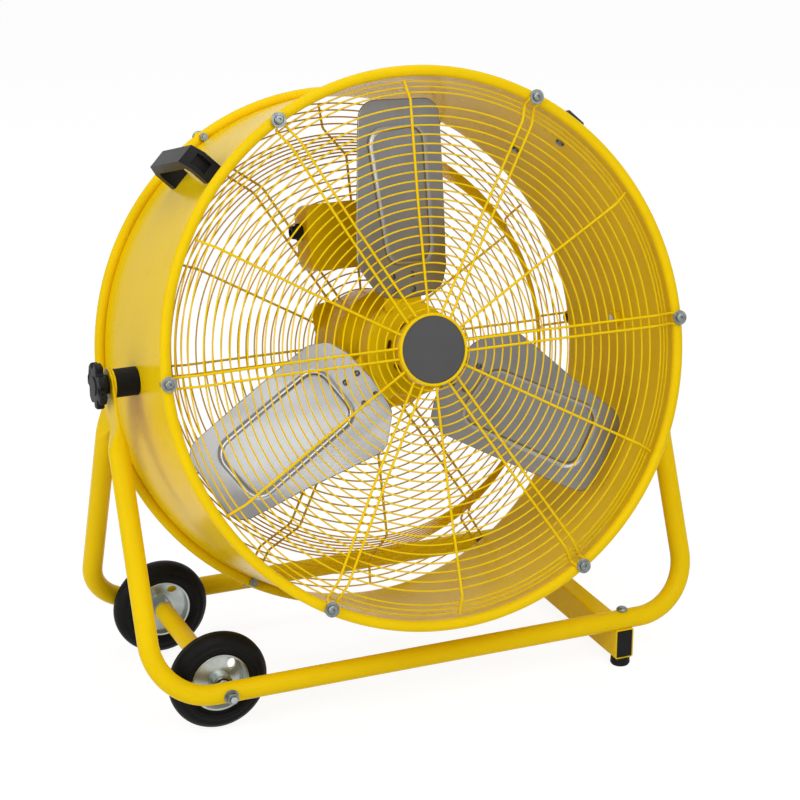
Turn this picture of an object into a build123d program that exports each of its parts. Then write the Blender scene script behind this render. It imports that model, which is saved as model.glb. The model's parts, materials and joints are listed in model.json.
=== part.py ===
from build123d import *
from math import atan2, cos, degrees, hypot, radians, sin, sqrt
import os

os.makedirs("parts", exist_ok=True)

# A portable drum fan on a two-wheeled tube stand. Millimetres, +Z up, the air
# blows towards -Y. The origin is on the floor, midway under the tilt pivots.

# ---- drum ----
drum_inner_radius = 318.0
drum_wall = 1.5
drum_half_width = 140.5  # from the middle of the drum to the middle of a bead
bead_radius = 6.5
bead_wall = 1.2
bead_slit = 1.2  # gap where the curled edge ends beside the wall
tilt_angle = 16.0  # how far the front looks up from level
pivot_height = 408.0

# ---- clearances ----
running_clearance = 0.06  # radial, between a shaft and its bore
rubbing_gap = 0.1  # between faces that turn against each other
weld_gap = 0.02  # between wires and faces that are welded or seated
seat_gap = 0.1  # between a bent wire and the round face it lies on
hole_clearance = 0.3  # radial, round a bolt in its hole

# ---- wire guards ----
ring_wire = 2.0
ring_sides = 8  # each ring's wire is drawn with this many flats
spoke_wire = 3.0
hairpin_half_gap = 6.3  # half the distance between the two wires of a pair
spoke_pairs = 6
ring_pitch = 10.7
rim_pitch = 7.6
hub_cup_radius = 43.0
hub_cup_wall = 2.0
hub_cup_front = 146.5  # forward of the middle of the drum
hub_cup_depth = 15.0
hub_rim_radius = 1.7
disc_thickness = 1.5
disc_recess = 2.0
front_centre = 140.5  # forward position of the spokes at the centre cup
front_waist_radius = 170.0
front_waist = 143.6
front_crown_radius = 291.0
front_crown = 153.0
front_rim_radius = 314.5
front_rim = 139.2
front_step = 3.5  # how far past the rim the paired wires have risen to the bead
rear_recess_radius = 240.0
rear_recess = -70.0
rear_shoulder_radius = 279.0
rear_shoulder = -143.0
rear_heel_radius = 311.0  # where the spokes reach the level of the bead, and the single ones end
wire_bend = 3.0
recess_bend = 9.0
first_front_ring = 48.0
first_rear_ring = 62.0
cone_pitch = 9.0

# ---- guard bolts ----
guard_bolt = 6.0
guard_washer_radius = 9.0
guard_washer_thickness = 1.6
guard_head_radius = 5.6
guard_head_height = 3.8
guard_nut_flats = 9.8
guard_nut_height = 5.0
socket_radius = 2.0
socket_depth = 2.0

# ---- motor ----
motor_radius = 72.0
motor_wall = 3.5
motor_front = 10.0
bell_face = 42.0
bell_face_radius = 54.0
bell_wall = 4.0
rear_bell_thickness = 8.0
mount_plate_side = 130.0
mount_plate_corner = 16.0
mount_plate_thickness = 3.0
mount_plate_turn = 4.0
mount_bolt_circle = 46.0
mount_bolt = 6.0
mount_head_radius = 5.5
mount_head_height = 4.0
bearing_outer = 17.5
bearing_width = 11.0
bearing_seat_wall = 5.0
stator_length = 40.0
stator_bore = 46.0
air_gap = 0.5
winding_length = 10.0
winding_inner = 50.0
winding_outer = 64.0

# ---- rotor ----
shaft_radius = 7.5
shaft_front = 95.0
hub_radius = 57.0
hub_wall = 3.0
hub_rear = 50.0
hub_front = 78.0
hub_face_thickness = 4.0
hub_edge = 4.0
hub_boss_radius = 18.0
hub_boss_front = 84.0
hub_slots = 6
hub_slot_radius = 29.0
hub_slot_angle = 45.0
hub_slot_length = 13.0
hub_slot_width = 6.0
hub_nut_flats = 22.0
hub_nut_height = 8.0
blade_count = 3
blade_middle = 72.0  # forward position of the blades' radial line
blade_thickness = 2.0
root_pitch = 26.0
mid_pitch = 17.0
tip_pitch = 5.0
root_end = 60.0
root_flat_end = 104.0
mid_station = 190.0
blade_reach = 299.0
arm_thickness = 4.0
arm_width = 62.0
arm_start = 48.0
arm_end = 96.0
bead_ridge = 1.4
bead_ridge_width = 5.0
rivet_radius = 3.2
rivet_head_radius = 5.0
rivet_head_height = 1.8
rivet_column = 70.0  # where the flat of the root is measured from
rivet_columns_middle = 79.0
rivet_columns_apart = 18.0
rivet_rows_apart = 34.0

# ---- control box ----
box_across = 78.0
box_tall = 82.0
box_deep = 44.0
box_wall = 2.0
box_corner = 14.0
box_cover_thickness = 2.0
switch_angle = 105.0
switch_ring_gap = 8  # the gap between two rings of the rear guard that it stands in
switch_raise = 5.0
switch_shaft_radius = 3.0
switch_body_side = 30.0
switch_body_depth = 20.0
dial_radius = 17.0
dial_thickness = 6.0
grip_height = 12.0
grip_width = 8.0
dial_stand_off = 4.0
capacitor_radius = 14.0
capacitor_length = 48.0
gland_radius = 9.0
gland_length = 14.0
gland_drop = 4.0
gland_bore = 4.5

# ---- carrying handles ----
handle_angle = 45.5  # above level, on both sides of the drum
handle_forward = 14.0
handle_length = 146.0
handle_height = 40.0
handle_width = 25.0
handle_grip = 13.0
handle_leg = 15.0
handle_chamfer = 15.0
handle_pocket_depth = 9.0
handle_pocket_width = 15.0
handle_pocket_height = 20.0
handle_screw = 6.0
handle_screw_depth = 9.0
handle_screw_half = 64.0
handle_head_radius = 6.0
handle_head_height = 3.0

# ---- stand ----
tube_radius = 12.5
tube_wall = 1.6
rail_height = 61.0
rail_half_spread = 150.0
stand_half_width = 350.2  # middle of the rear tube's legs
bend_radius = 72.0
flat_thickness = 3.2
flat_width = 39.0
flat_length = 46.0  # from the pivot down the leg
flat_transition = 36.0
pivot_bolt = 10.0
spacer_radius = 17.0
knob_radius = 28.0
knob_thickness = 11.0
knob_lobes = 7
knob_notch_radius = 6.5
knob_stem_radius = 12.0
knob_stem_length = 7.0
knob_recess = 2.0
stud_end = 309.0
pivot_nut_flats = 17.0
pivot_nut_height = 8.0

# ---- crossbar and feet ----
crossbar_place = 257.0
crossbar_width = 25.0
crossbar_tall = 40.0
crossbar_wall = 2.0
crossbar_corner = 3.0
crossbar_overhang = 10.0
foot_radius = 12.5
foot_height = 11.5
cap_proud = 1.0  # how far a cap stands out of the crossbar's end
cap_plug = 5.0
foot_bolt = 8.0
dome_radius = 7.0
dome_height = 4.5
foot_bolt_end = 4.0

# ---- wheels ----
wheel_place = -266.5
wheel_radius = 61.0
wheel_half_track = 113.0
tyre_width = 30.0
tyre_shoulder = 9.0
tyre_seat = 36.0
rim_sheet = 2.5
rim_half_width = 11.0
rim_groove = 3.0
dish_depth = 5.0
dish_hole = 11.0
wheel_hub_radius = 13.5
wheel_hub_length = 38.0
bush_wall = 5.5
axle_bolt = 8.0
axle_tube_radius = 12.0
axle_tube_wall = 2.0
axle_washer_radius = 9.0
axle_washer_thickness = 1.6
axle_nut_flats = 13.0
axle_nut_height = 6.5
axle_stub = 3.0
collar_radius = 8.0
plug_length = 12.0

# ---- places worked out from the sizes above ----
tilt = radians(tilt_angle)
pivot = Vector(0, 0, pivot_height)
forward = Vector(0, -cos(tilt), sin(tilt))
upward = Vector(0, sin(tilt), cos(tilt))
fan_plane = Plane(origin=pivot, x_dir=(1, 0, 0), z_dir=forward)
fan_axis = Axis(pivot, forward)
drum_outer_radius = drum_inner_radius + drum_wall
bead_circle = drum_inner_radius + bead_radius
guard_seat = drum_half_width + bead_radius + spoke_wire / 2 + seat_gap
washer_seat = guard_seat + spoke_wire / 2 + weld_gap
ring_lift = (spoke_wire + ring_wire) / 2 + weld_gap
plate_rear = rear_recess + spoke_wire / 2 + weld_gap
box_rear = plate_rear  # the box and the motor's plate lie on the same spokes
plate_front = plate_rear + mount_plate_thickness
motor_back = plate_front
rotor_clear = stator_bore - air_gap
leg_length = hypot(rail_half_spread, pivot_height - rail_height)
plate_inner_face = stand_half_width - flat_thickness / 2
plate_outer_face = stand_half_width + 1.5 * flat_thickness
spacer_seat = drum_outer_radius + weld_gap
crossbar_half = rail_half_spread + crossbar_overhang
switch_turn_radius = first_rear_ring + (switch_ring_gap + 0.5) * ring_pitch
switch_x = switch_turn_radius * cos(radians(switch_angle))
switch_y = switch_turn_radius * sin(radians(switch_angle))
box_x = switch_x
box_y = switch_y - switch_raise
axle_line = Plane(origin=(wheel_place, 0, rail_height), x_dir=(1, 0, 0), z_dir=(0, -1, 0))


def meridian(angle, shift=0.0):
    """A plane through the fan's axis: x points outwards at the angle, y points forward."""
    turn = radians(angle)
    outward = Vector(cos(turn), 0, 0) + upward * sin(turn)
    return Plane(origin=pivot + outward.cross(forward) * shift, x_dir=outward,
                 z_dir=outward.cross(forward))


def drum_side(angle, out):
    """A plane touching the drum at the angle: x points forward, z points outwards."""
    turn = radians(angle)
    outward = Vector(cos(turn), 0, 0) + upward * sin(turn)
    return Plane(origin=pivot + outward * out, x_dir=forward, z_dir=outward)


def fan_place(radius, angle, ahead):
    """A point beside the fan's axis."""
    turn = radians(angle)
    return pivot + Vector(1, 0, 0) * radius * cos(turn) + upward * radius * sin(turn) + forward * ahead


def pair_angles():
    """The angles of the wire pairs and their bolts."""
    return [360 / spoke_pairs * k for k in range(spoke_pairs)]


# ---------------------------------------------------------------- drum shell
def drum_shell():
    with BuildPart() as shell:
        with BuildSketch(meridian(0)):
            with Locations((drum_inner_radius + drum_wall / 2, 0)):
                Rectangle(drum_wall, 2 * drum_half_width)
            with Locations((bead_circle, drum_half_width), (bead_circle, -drum_half_width)):
                Circle(bead_radius)
                Circle(bead_radius - bead_wall, mode=Mode.SUBTRACT)
            slit_middle = drum_half_width - bead_radius
            with Locations((drum_outer_radius + bead_slit / 2, slit_middle),
                           (drum_outer_radius + bead_slit / 2, -slit_middle)):
                Rectangle(bead_slit, bead_radius, mode=Mode.SUBTRACT)
        revolve(axis=fan_axis)
        with BuildSketch(fan_plane.offset(-drum_half_width - 2 * bead_radius)):
            with PolarLocations(bead_circle, spoke_pairs):
                Circle(guard_bolt / 2 + hole_clearance)
        extrude(amount=2 * drum_half_width + 4 * bead_radius, mode=Mode.SUBTRACT)
        with BuildSketch(Plane.YZ.offset(-2 * drum_outer_radius)):
            with Locations((0, pivot_height)):
                Circle(pivot_bolt / 2 + hole_clearance)
        extrude(amount=4 * drum_outer_radius, mode=Mode.SUBTRACT)
        for angle in (handle_angle, 180 - handle_angle):
            with BuildSketch(drum_side(angle, drum_inner_radius - 2 * bead_radius)):
                with Locations((handle_forward + handle_screw_half, 0),
                               (handle_forward - handle_screw_half, 0)):
                    Circle(handle_screw / 2 + hole_clearance)
            extrude(amount=4 * bead_radius, mode=Mode.SUBTRACT)
    shell.part.label = "drum_shell"
    export_step(shell.part, "parts/drum_shell.step")


# ---------------------------------------------------------------- wire guards
def run_rings(start, end, first, last, pitch, side):
    """Middles of the rings along one straight run of a spoke, on the given side of it."""
    length = hypot(end[0] - start[0], end[1] - start[1])
    along = ((end[0] - start[0]) / length, (end[1] - start[1]) / length)
    count = int((length - first - last) / pitch + 1e-6) + 1
    middles = []
    for k in range(count):
        distance = first + k * pitch
        middles.append((start[0] + along[0] * distance - side * along[1] * ring_lift,
                        start[1] + along[1] * distance + side * along[0] * ring_lift))
    return middles


def spoke(points, bends, angle, shift):
    """One wire that follows the guard's profile out from the centre."""
    with BuildPart() as wire:
        with BuildLine(meridian(angle, shift)) as path:
            FilletPolyline(*points, radius=bends)
        with BuildSketch(path.line ^ 0):
            Circle(spoke_wire / 2)
        sweep(path=path.line)
    return wire.part


def hairpin(points, bends, angle, seat):
    """A pair of wires joined by a half loop round the guard bolt."""
    bolt = fan_place(bead_circle, angle, seat)
    turn = radians(angle)
    outward = Vector(cos(turn), 0, 0) + upward * sin(turn)
    with BuildPart() as pair:
        for shift in (hairpin_half_gap, -hairpin_half_gap):
            add(spoke(points, bends, angle, shift))
        across = outward.cross(forward)
        with BuildSketch(Plane(origin=bolt, x_dir=across, z_dir=outward)):
            with Locations((hairpin_half_gap, 0)):
                Circle(spoke_wire / 2)
        revolve(axis=Axis(bolt, forward), revolution_arc=180)
    return pair.part


def front_guard():
    """The rings are welded behind the spokes, which dip into the drum's mouth at the rim."""
    centre = (hub_cup_radius + seat_gap, front_centre)
    waist = (front_waist_radius, front_waist)
    crown = (front_crown_radius, front_crown)
    rim = (front_rim_radius, front_rim)
    step = (front_rim_radius + front_step, guard_seat)
    seat = (bead_circle, guard_seat)
    middles = run_rings(centre, waist, first_front_ring - centre[0], 0, ring_pitch, -1)
    middles += run_rings(waist, crown, ring_pitch / 2, ring_wire, ring_pitch, -1)
    middles += run_rings(crown, rim, ring_pitch, 0, rim_pitch, -1)
    with BuildPart() as guard:
        with BuildSketch(meridian(0)):
            for middle in middles:
                with Locations(middle):
                    RegularPolygon(ring_wire / 2, ring_sides)
        revolve(axis=fan_axis)
        for angle in pair_angles():
            add(hairpin([centre, waist, crown, rim, step, seat], [wire_bend] * 4, angle, guard_seat))
            add(spoke([centre, waist, crown, rim], [wire_bend] * 2, angle + 180 / spoke_pairs, 0))
    guard.part.label = "front_guard"
    export_step(guard.part, "parts/front_guard.step")


def guard_centre_cup():
    with BuildPart() as cup:
        with BuildSketch(meridian(0)):
            with Locations((hub_cup_radius - hub_cup_wall / 2, hub_cup_front - hub_cup_depth / 2)):
                Rectangle(hub_cup_wall, hub_cup_depth)
            with Locations((hub_cup_radius - hub_rim_radius, hub_cup_front - hub_rim_radius)):
                Circle(hub_rim_radius)
        revolve(axis=fan_axis)
    cup.part.label = "guard_centre_cup"
    export_step(cup.part, "parts/guard_centre_cup.step")


def guard_centre_disc():
    disc_radius = hub_cup_radius - 2 * hub_rim_radius
    back = hub_cup_front - disc_recess - disc_thickness
    with BuildPart() as disc:
        with BuildSketch(fan_plane.offset(back)):
            Circle(disc_radius - weld_gap)
        extrude(amount=disc_thickness)
        fillet(disc.edges().group_by(SortBy.LENGTH)[-1].sort_by(Axis(pivot, forward))[-1:], 0.5)
    disc.part.label = "guard_centre_disc"
    export_step(disc.part, "parts/guard_centre_disc.step")


def rear_guard():
    centre = (first_rear_ring - ring_wire, rear_recess)
    recess = (rear_recess_radius, rear_recess)
    shoulder = (rear_shoulder_radius, rear_shoulder)
    seat = (bead_circle, -guard_seat)
    heel = (rear_heel_radius, -guard_seat)
    bend_length = recess_bend * 0.6
    middles = run_rings(centre, recess, ring_wire, bend_length, ring_pitch, -1)
    middles += run_rings(recess, shoulder, bend_length, bend_length, cone_pitch, -1)
    middles += run_rings(shoulder, heel, bend_length, 0, cone_pitch, -1)
    with BuildPart() as guard:
        with BuildSketch(meridian(0)):
            for middle in middles:
                with Locations(middle):
                    RegularPolygon(ring_wire / 2, ring_sides)
        revolve(axis=fan_axis)
        for angle in pair_angles():
            add(hairpin([centre, recess, shoulder, heel, seat], [recess_bend] * 3, angle, -guard_seat))
            add(spoke([centre, recess, shoulder, heel], [recess_bend] * 2, angle + 180 / spoke_pairs, 0))
    guard.part.label = "rear_guard"
    export_step(guard.part, "parts/rear_guard.step")


def guard_bolts():
    """Bolts, washers and nuts that hold both guards to the beads."""
    head_seat = washer_seat + guard_washer_thickness
    nut_seat = drum_half_width - bead_radius - weld_gap
    with BuildPart() as washers:
        for end in (1, -1):
            with BuildSketch(fan_plane.offset(end * washer_seat)):
                with PolarLocations(bead_circle, spoke_pairs):
                    Circle(guard_washer_radius)
                    Circle(guard_bolt / 2 + hole_clearance, mode=Mode.SUBTRACT)
            extrude(amount=end * guard_washer_thickness)
    washers.part.label = "guard_washers"
    export_step(washers.part, "parts/guard_washers.step")
    with BuildPart() as nuts:
        for end in (1, -1):
            with BuildSketch(fan_plane.offset(end * nut_seat)):
                with PolarLocations(bead_circle, spoke_pairs):
                    RegularPolygon(guard_nut_flats / 2, 6, major_radius=False, rotation=30)
                    Circle(guard_bolt / 2, mode=Mode.SUBTRACT)
            extrude(amount=-end * guard_nut_height)
    nuts.part.label = "guard_nuts"
    export_step(nuts.part, "parts/guard_nuts.step")
    with BuildPart() as bolts:
        for end in (1, -1):
            with BuildSketch(fan_plane.offset(end * head_seat)):
                with PolarLocations(bead_circle, spoke_pairs):
                    Circle(guard_head_radius)
            extrude(amount=end * guard_head_height)
            rims = bolts.edges().filter_by(GeomType.CIRCLE).sort_by(Axis(pivot, forward * end))
            fillet(rims[-spoke_pairs:], guard_head_height * 0.6)
            with BuildSketch(fan_plane.offset(end * (head_seat + guard_head_height))):
                with PolarLocations(bead_circle, spoke_pairs):
                    RegularPolygon(socket_radius, 6)
            extrude(amount=-end * socket_depth, mode=Mode.SUBTRACT)
            with BuildSketch(fan_plane.offset(end * head_seat)):
                with PolarLocations(bead_circle, spoke_pairs):
                    Circle(guard_bolt / 2)
            extrude(amount=-end * (head_seat - nut_seat + guard_nut_height + 1))
    bolts.part.label = "guard_bolts"
    export_step(bolts.part, "parts/guard_bolts.step")


# ---------------------------------------------------------------- motor
def motor_mount_plate():
    with BuildPart() as plate:
        with BuildSketch(fan_plane.offset(plate_rear)):
            RectangleRounded(mount_plate_side, mount_plate_side, mount_plate_corner,
                             rotation=mount_plate_turn)
            Circle(bearing_outer, mode=Mode.SUBTRACT)
            with PolarLocations(mount_bolt_circle, 4, start_angle=45):
                Circle(mount_bolt / 2 + hole_clearance, mode=Mode.SUBTRACT)
        extrude(amount=mount_plate_thickness)
    plate.part.label = "motor_mount_plate"
    export_step(plate.part, "parts/motor_mount_plate.step")


def mount_bolts():
    with BuildPart() as bolts:
        with BuildSketch(fan_plane.offset(plate_rear)):
            with PolarLocations(mount_bolt_circle, 4, start_angle=45):
                RegularPolygon(mount_head_radius, 6)
        extrude(amount=-mount_head_height)
        with BuildSketch(fan_plane.offset(plate_rear)):
            with PolarLocations(mount_bolt_circle, 4, start_angle=45):
                Circle(mount_bolt / 2)
        extrude(amount=mount_plate_thickness + rear_bell_thickness - 1)
    bolts.part.label = "motor_mount_bolts"
    export_step(bolts.part, "parts/motor_mount_bolts.step")


def motor_housing():
    back = motor_back + rear_bell_thickness
    with BuildPart() as housing:
        with BuildSketch(fan_plane.offset(back)):
            Circle(motor_radius)
            Circle(motor_radius - motor_wall, mode=Mode.SUBTRACT)
        extrude(amount=motor_front - back)
    housing.part.label = "motor_housing"
    export_step(housing.part, "parts/motor_housing.step")


def motor_bells():
    """The two end bells: each holds a bearing in a round seat."""
    back = motor_back + rear_bell_thickness
    seat = bearing_outer + bearing_seat_wall
    bore = shaft_radius + 1.5
    with BuildPart() as rear_bell:
        with BuildSketch(fan_plane.offset(motor_back)):
            Circle(motor_radius)
            with PolarLocations(mount_bolt_circle, 4, start_angle=45):
                Circle(mount_bolt / 2, mode=Mode.SUBTRACT)
        extrude(amount=rear_bell_thickness)
        with BuildSketch(fan_plane.offset(back)):
            Circle(seat)
        extrude(amount=bearing_width - 3)
        with BuildSketch(fan_plane.offset(back - 3)):
            Circle(bearing_outer)
        extrude(amount=bearing_width, mode=Mode.SUBTRACT)
    rear_bell.part.label = "motor_rear_bell"
    export_step(rear_bell.part, "parts/motor_rear_bell.step")
    with BuildPart() as front_bell:
        with BuildSketch(meridian(0)):
            with BuildLine():
                Polyline((bore, bell_face - bell_wall), (bore, bell_face),
                         (bell_face_radius, bell_face), (motor_radius, motor_front),
                         (motor_radius - motor_wall - bell_wall, motor_front),
                         (bell_face_radius - bell_wall / 2, bell_face - bell_wall), close=True)
            make_face()
        revolve(axis=fan_axis)
        with BuildSketch(fan_plane.offset(bell_face - bell_wall)):
            Circle(seat)
            Circle(bearing_outer, mode=Mode.SUBTRACT)
        extrude(amount=-bearing_width)
    front_bell.part.label = "motor_front_bell"
    export_step(front_bell.part, "parts/motor_front_bell.step")


def motor_bearings():
    places = {"rear_bearing": motor_back + rear_bell_thickness - 3,
              "front_bearing": bell_face - bell_wall - bearing_width}
    for label, start in places.items():
        with BuildPart() as bearing:
            with BuildSketch(fan_plane.offset(start)):
                Circle(bearing_outer)
                Circle(shaft_radius + running_clearance, mode=Mode.SUBTRACT)
            extrude(amount=bearing_width)
        bearing.part.label = label
        export_step(bearing.part, f"parts/{label}.step")


def stator():
    """Laminated core with a wound ring at each end."""
    middle = (motor_back + rear_bell_thickness + motor_front) / 2
    with BuildPart() as core:
        with BuildSketch(fan_plane.offset(middle - stator_length / 2)):
            Circle(motor_radius - motor_wall)
            Circle(stator_bore, mode=Mode.SUBTRACT)
        extrude(amount=stator_length)
    core.part.label = "stator_core"
    export_step(core.part, "parts/stator_core.step")
    with BuildPart() as windings:
        for start in (middle + stator_length / 2, middle - stator_length / 2 - winding_length):
            with BuildSketch(fan_plane.offset(start)):
                Circle(winding_outer)
                Circle(winding_inner, mode=Mode.SUBTRACT)
            extrude(amount=winding_length)
        fillet(windings.edges(), 3)
    windings.part.label = "stator_windings"
    export_step(windings.part, "parts/stator_windings.step")


# ---------------------------------------------------------------- rotor
def rotor_core():
    middle = (motor_back + rear_bell_thickness + motor_front) / 2
    with BuildPart() as core:
        with BuildSketch(fan_plane.offset(middle - stator_length / 2)):
            Circle(rotor_clear)
            Circle(shaft_radius, mode=Mode.SUBTRACT)
        extrude(amount=stator_length)
    core.part.label = "rotor_core"
    export_step(core.part, "parts/rotor_core.step")


def rotor_shaft():
    with BuildPart() as shaft:
        with BuildSketch(fan_plane.offset(motor_back + rear_bell_thickness - 2)):
            Circle(shaft_radius)
        extrude(amount=shaft_front - motor_back - rear_bell_thickness + 2)
        chamfer(shaft.edges().filter_by(GeomType.CIRCLE), 1)
    shaft.part.label = "rotor_shaft"
    export_step(shaft.part, "parts/rotor_shaft.step")


def chord_pitch(radius):
    """The blade's pitch at a radius: steady at the root, then easing off to the tip."""
    if radius <= root_flat_end:
        return root_pitch
    if radius <= mid_station:
        share = (radius - root_flat_end) / (mid_station - root_flat_end)
        return root_pitch + (mid_pitch - root_pitch) * share
    share = (radius - mid_station) / (blade_reach - mid_station)
    return mid_pitch + (tip_pitch - mid_pitch) * share


def chord_plane(radius, angle=90.0):
    """Across the blade at a radius: x along the chord towards the trailing edge, y forward of it."""
    turn = radians(angle)
    pitch = radians(chord_pitch(radius))
    outward = Vector(cos(turn), 0, 0) + upward * sin(turn)
    around = Vector(-sin(turn), 0, 0) + upward * cos(turn)
    chord = around * cos(pitch) + forward * sin(pitch)
    place = pivot + forward * blade_middle + outward * radius
    return Plane(origin=place, x_dir=chord, z_dir=outward)


def root_plane(angle=90.0):
    """Flat on the blade's root: x points outwards, y along the chord, z out of its face."""
    across = chord_plane(rivet_column, angle)
    return Plane(origin=across.origin, x_dir=across.z_dir, z_dir=across.z_dir.cross(across.x_dir))


def pitched_plate(below, above, first, last):
    """A plate with the blade's pitch and twist between two radii."""
    stations = [first] + [r for r in (root_flat_end, mid_station) if first < r < last] + [last]
    reach = blade_reach
    with BuildPart() as plate:
        for radius in stations:
            with BuildSketch(chord_plane(radius)):
                with Locations((0, (above - below) / 2)):
                    Rectangle(reach, above + below)
        loft(ruled=True)
    return plate.part


# corners of the blade and of its ridge: out from the axis, then across towards the trailing edge
blade_outline = [(root_end, -2.0), (root_end + 1, -44.0), (70.0, -70.0), (94.0, -82.0),
                 (blade_reach - 4, -73.0), (blade_reach, 34.0), (206.0, 52.0), (106.0, 77.0), (66.0, 44.0)]
ridge_outline = [(100.0, -56.0), (266.0, -50.0), (262.0, 28.0), (104.0, 22.0)]


def blades():
    with BuildPart() as blade:
        add(pitched_plate(blade_thickness / 2, blade_thickness / 2, root_end - 5, blade_reach + 5))
        with BuildSketch(fan_plane.offset(0)) as outline:
            with BuildLine():
                Polyline(*[(-v, u) for u, v in blade_outline], close=True)
            make_face()
            fillet(outline.vertices(), 15)
        extrude(amount=2 * blade_middle, mode=Mode.INTERSECT)
    ridge_part = blade_ridge()
    with BuildPart() as finished:
        add(blade.part)
        add(ridge_part)
        with BuildSketch(root_plane().offset(-arm_thickness * 2)):
            with Locations((rivet_columns_middle - rivet_column, 0)):
                with GridLocations(rivet_columns_apart, rivet_rows_apart, 2, 2):
                    Circle(rivet_radius)
        extrude(amount=arm_thickness * 4, mode=Mode.SUBTRACT)
    for k in range(blade_count):
        turned = finished.part.rotate(fan_axis, 360 / blade_count * k)
        turned.label = f"fan_blade_{k + 1}"
        export_step(turned, f"parts/fan_blade_{k + 1}.step")


def blade_ridge():
    """The pressed ridge that stiffens a blade: it stands out at the back and follows the twist."""
    with BuildPart() as ridge:
        add(pitched_plate(blade_thickness / 2 + bead_ridge, 0, root_end, blade_reach))
        with BuildSketch(fan_plane.offset(0)) as outline:
            with BuildLine():
                Polyline(*[(-v, u) for u, v in ridge_outline], close=True)
            make_face()
            fillet(outline.vertices(), 16)
            offset(amount=-bead_ridge_width, mode=Mode.SUBTRACT)
        extrude(amount=2 * blade_middle, mode=Mode.INTERSECT)
    return ridge.part


def fan_hub():
    """A pressed cup round the shaft with a pitched arm behind each blade."""
    with BuildPart() as hub:
        with BuildSketch(fan_plane.offset(hub_rear)):
            Circle(hub_radius)
        extrude(amount=hub_front - hub_rear)
        fillet(hub.edges().filter_by(GeomType.CIRCLE).sort_by(Axis(pivot, forward))[-1], hub_edge)
        with BuildSketch(fan_plane.offset(hub_rear)):
            Circle(hub_radius - hub_wall)
        extrude(amount=hub_front - hub_rear - hub_face_thickness, mode=Mode.SUBTRACT)
        with BuildSketch(fan_plane.offset(hub_rear)):
            Circle(hub_boss_radius)
        extrude(amount=hub_boss_front - hub_rear)
        with BuildSketch(fan_plane.offset(hub_front - hub_face_thickness)):
            with PolarLocations(hub_slot_radius, hub_slots, start_angle=hub_slot_angle):
                SlotOverall(hub_slot_length, hub_slot_width, rotation=90)
        extrude(amount=hub_face_thickness, mode=Mode.SUBTRACT)
        for k in range(blade_count):
            plane = root_plane(90 + 360 / blade_count * k).offset(-blade_thickness / 2 - weld_gap)
            with BuildSketch(plane):
                with Locations(((arm_start + arm_end) / 2 - rivet_column, 0)):
                    Rectangle(arm_end - arm_start, arm_width)
            extrude(amount=-arm_thickness)
            with BuildSketch(root_plane(90 + 360 / blade_count * k).offset(-arm_thickness * 2)):
                with Locations((rivet_columns_middle - rivet_column, 0)):
                    with GridLocations(rivet_columns_apart, rivet_rows_apart, 2, 2):
                        Circle(rivet_radius)
            extrude(amount=arm_thickness * 4, mode=Mode.SUBTRACT)
        with BuildSketch(fan_plane):
            Circle(shaft_radius)
        extrude(amount=2 * blade_middle, mode=Mode.SUBTRACT)
    hub.part.label = "fan_hub"
    export_step(hub.part, "parts/fan_hub.step")


def blade_rivets():
    with BuildPart() as rivets:
        for k in range(blade_count):
            face = root_plane(90 + 360 / blade_count * k)
            with BuildSketch(face.offset(blade_thickness / 2)):
                with Locations((rivet_columns_middle - rivet_column, 0)):
                    with GridLocations(rivet_columns_apart, rivet_rows_apart, 2, 2):
                        Circle(rivet_head_radius)
            extrude(amount=rivet_head_height)
            with BuildSketch(face.offset(blade_thickness / 2)):
                with Locations((rivet_columns_middle - rivet_column, 0)):
                    with GridLocations(rivet_columns_apart, rivet_rows_apart, 2, 2):
                        Circle(rivet_radius)
            extrude(amount=-blade_thickness - weld_gap - arm_thickness)
    rivets.part.label = "blade_rivets"
    export_step(rivets.part, "parts/blade_rivets.step")


def hub_nut():
    with BuildPart() as nut:
        with BuildSketch(fan_plane.offset(hub_boss_front)):
            RegularPolygon(hub_nut_flats / 2, 6, major_radius=False)
            Circle(shaft_radius, mode=Mode.SUBTRACT)
        extrude(amount=hub_nut_height)
    nut.part.label = "hub_nut"
    export_step(nut.part, "parts/hub_nut.step")


# ---------------------------------------------------------------- control box
def gland_face():
    """The box's left wall where the cord goes in, facing outwards."""
    wall = fan_plane.offset(box_rear + box_deep / 2)
    place = wall.from_local_coords((box_x - box_across / 2, switch_y + gland_drop, 0))
    return Plane(origin=place, x_dir=upward, z_dir=(-1, 0, 0))


def control_box():
    with BuildPart() as box:
        with BuildSketch(fan_plane.offset(box_rear)):
            with Locations((box_x, box_y)):
                RectangleRounded(box_across, box_tall, box_corner)
        extrude(amount=box_deep)
        with BuildSketch(fan_plane.offset(box_rear + box_wall)):
            with Locations((box_x, box_y)):
                RectangleRounded(box_across - 2 * box_wall, box_tall - 2 * box_wall, box_corner - box_wall)
        extrude(amount=box_deep, mode=Mode.SUBTRACT)
        with BuildSketch(fan_plane.offset(box_rear)):
            with Locations((switch_x, switch_y)):
                Circle(switch_shaft_radius + hole_clearance)
        extrude(amount=box_wall, mode=Mode.SUBTRACT)
        with BuildSketch(gland_face()):
            Circle(gland_bore + 1)
        extrude(amount=-box_wall, mode=Mode.SUBTRACT)
    box.part.label = "control_box"
    export_step(box.part, "parts/control_box.step")
    with BuildPart() as cover:
        with BuildSketch(fan_plane.offset(box_rear + box_deep)):
            with Locations((box_x, box_y)):
                RectangleRounded(box_across, box_tall, box_corner)
        extrude(amount=box_cover_thickness)
    cover.part.label = "control_box_cover"
    export_step(cover.part, "parts/control_box_cover.step")


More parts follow.
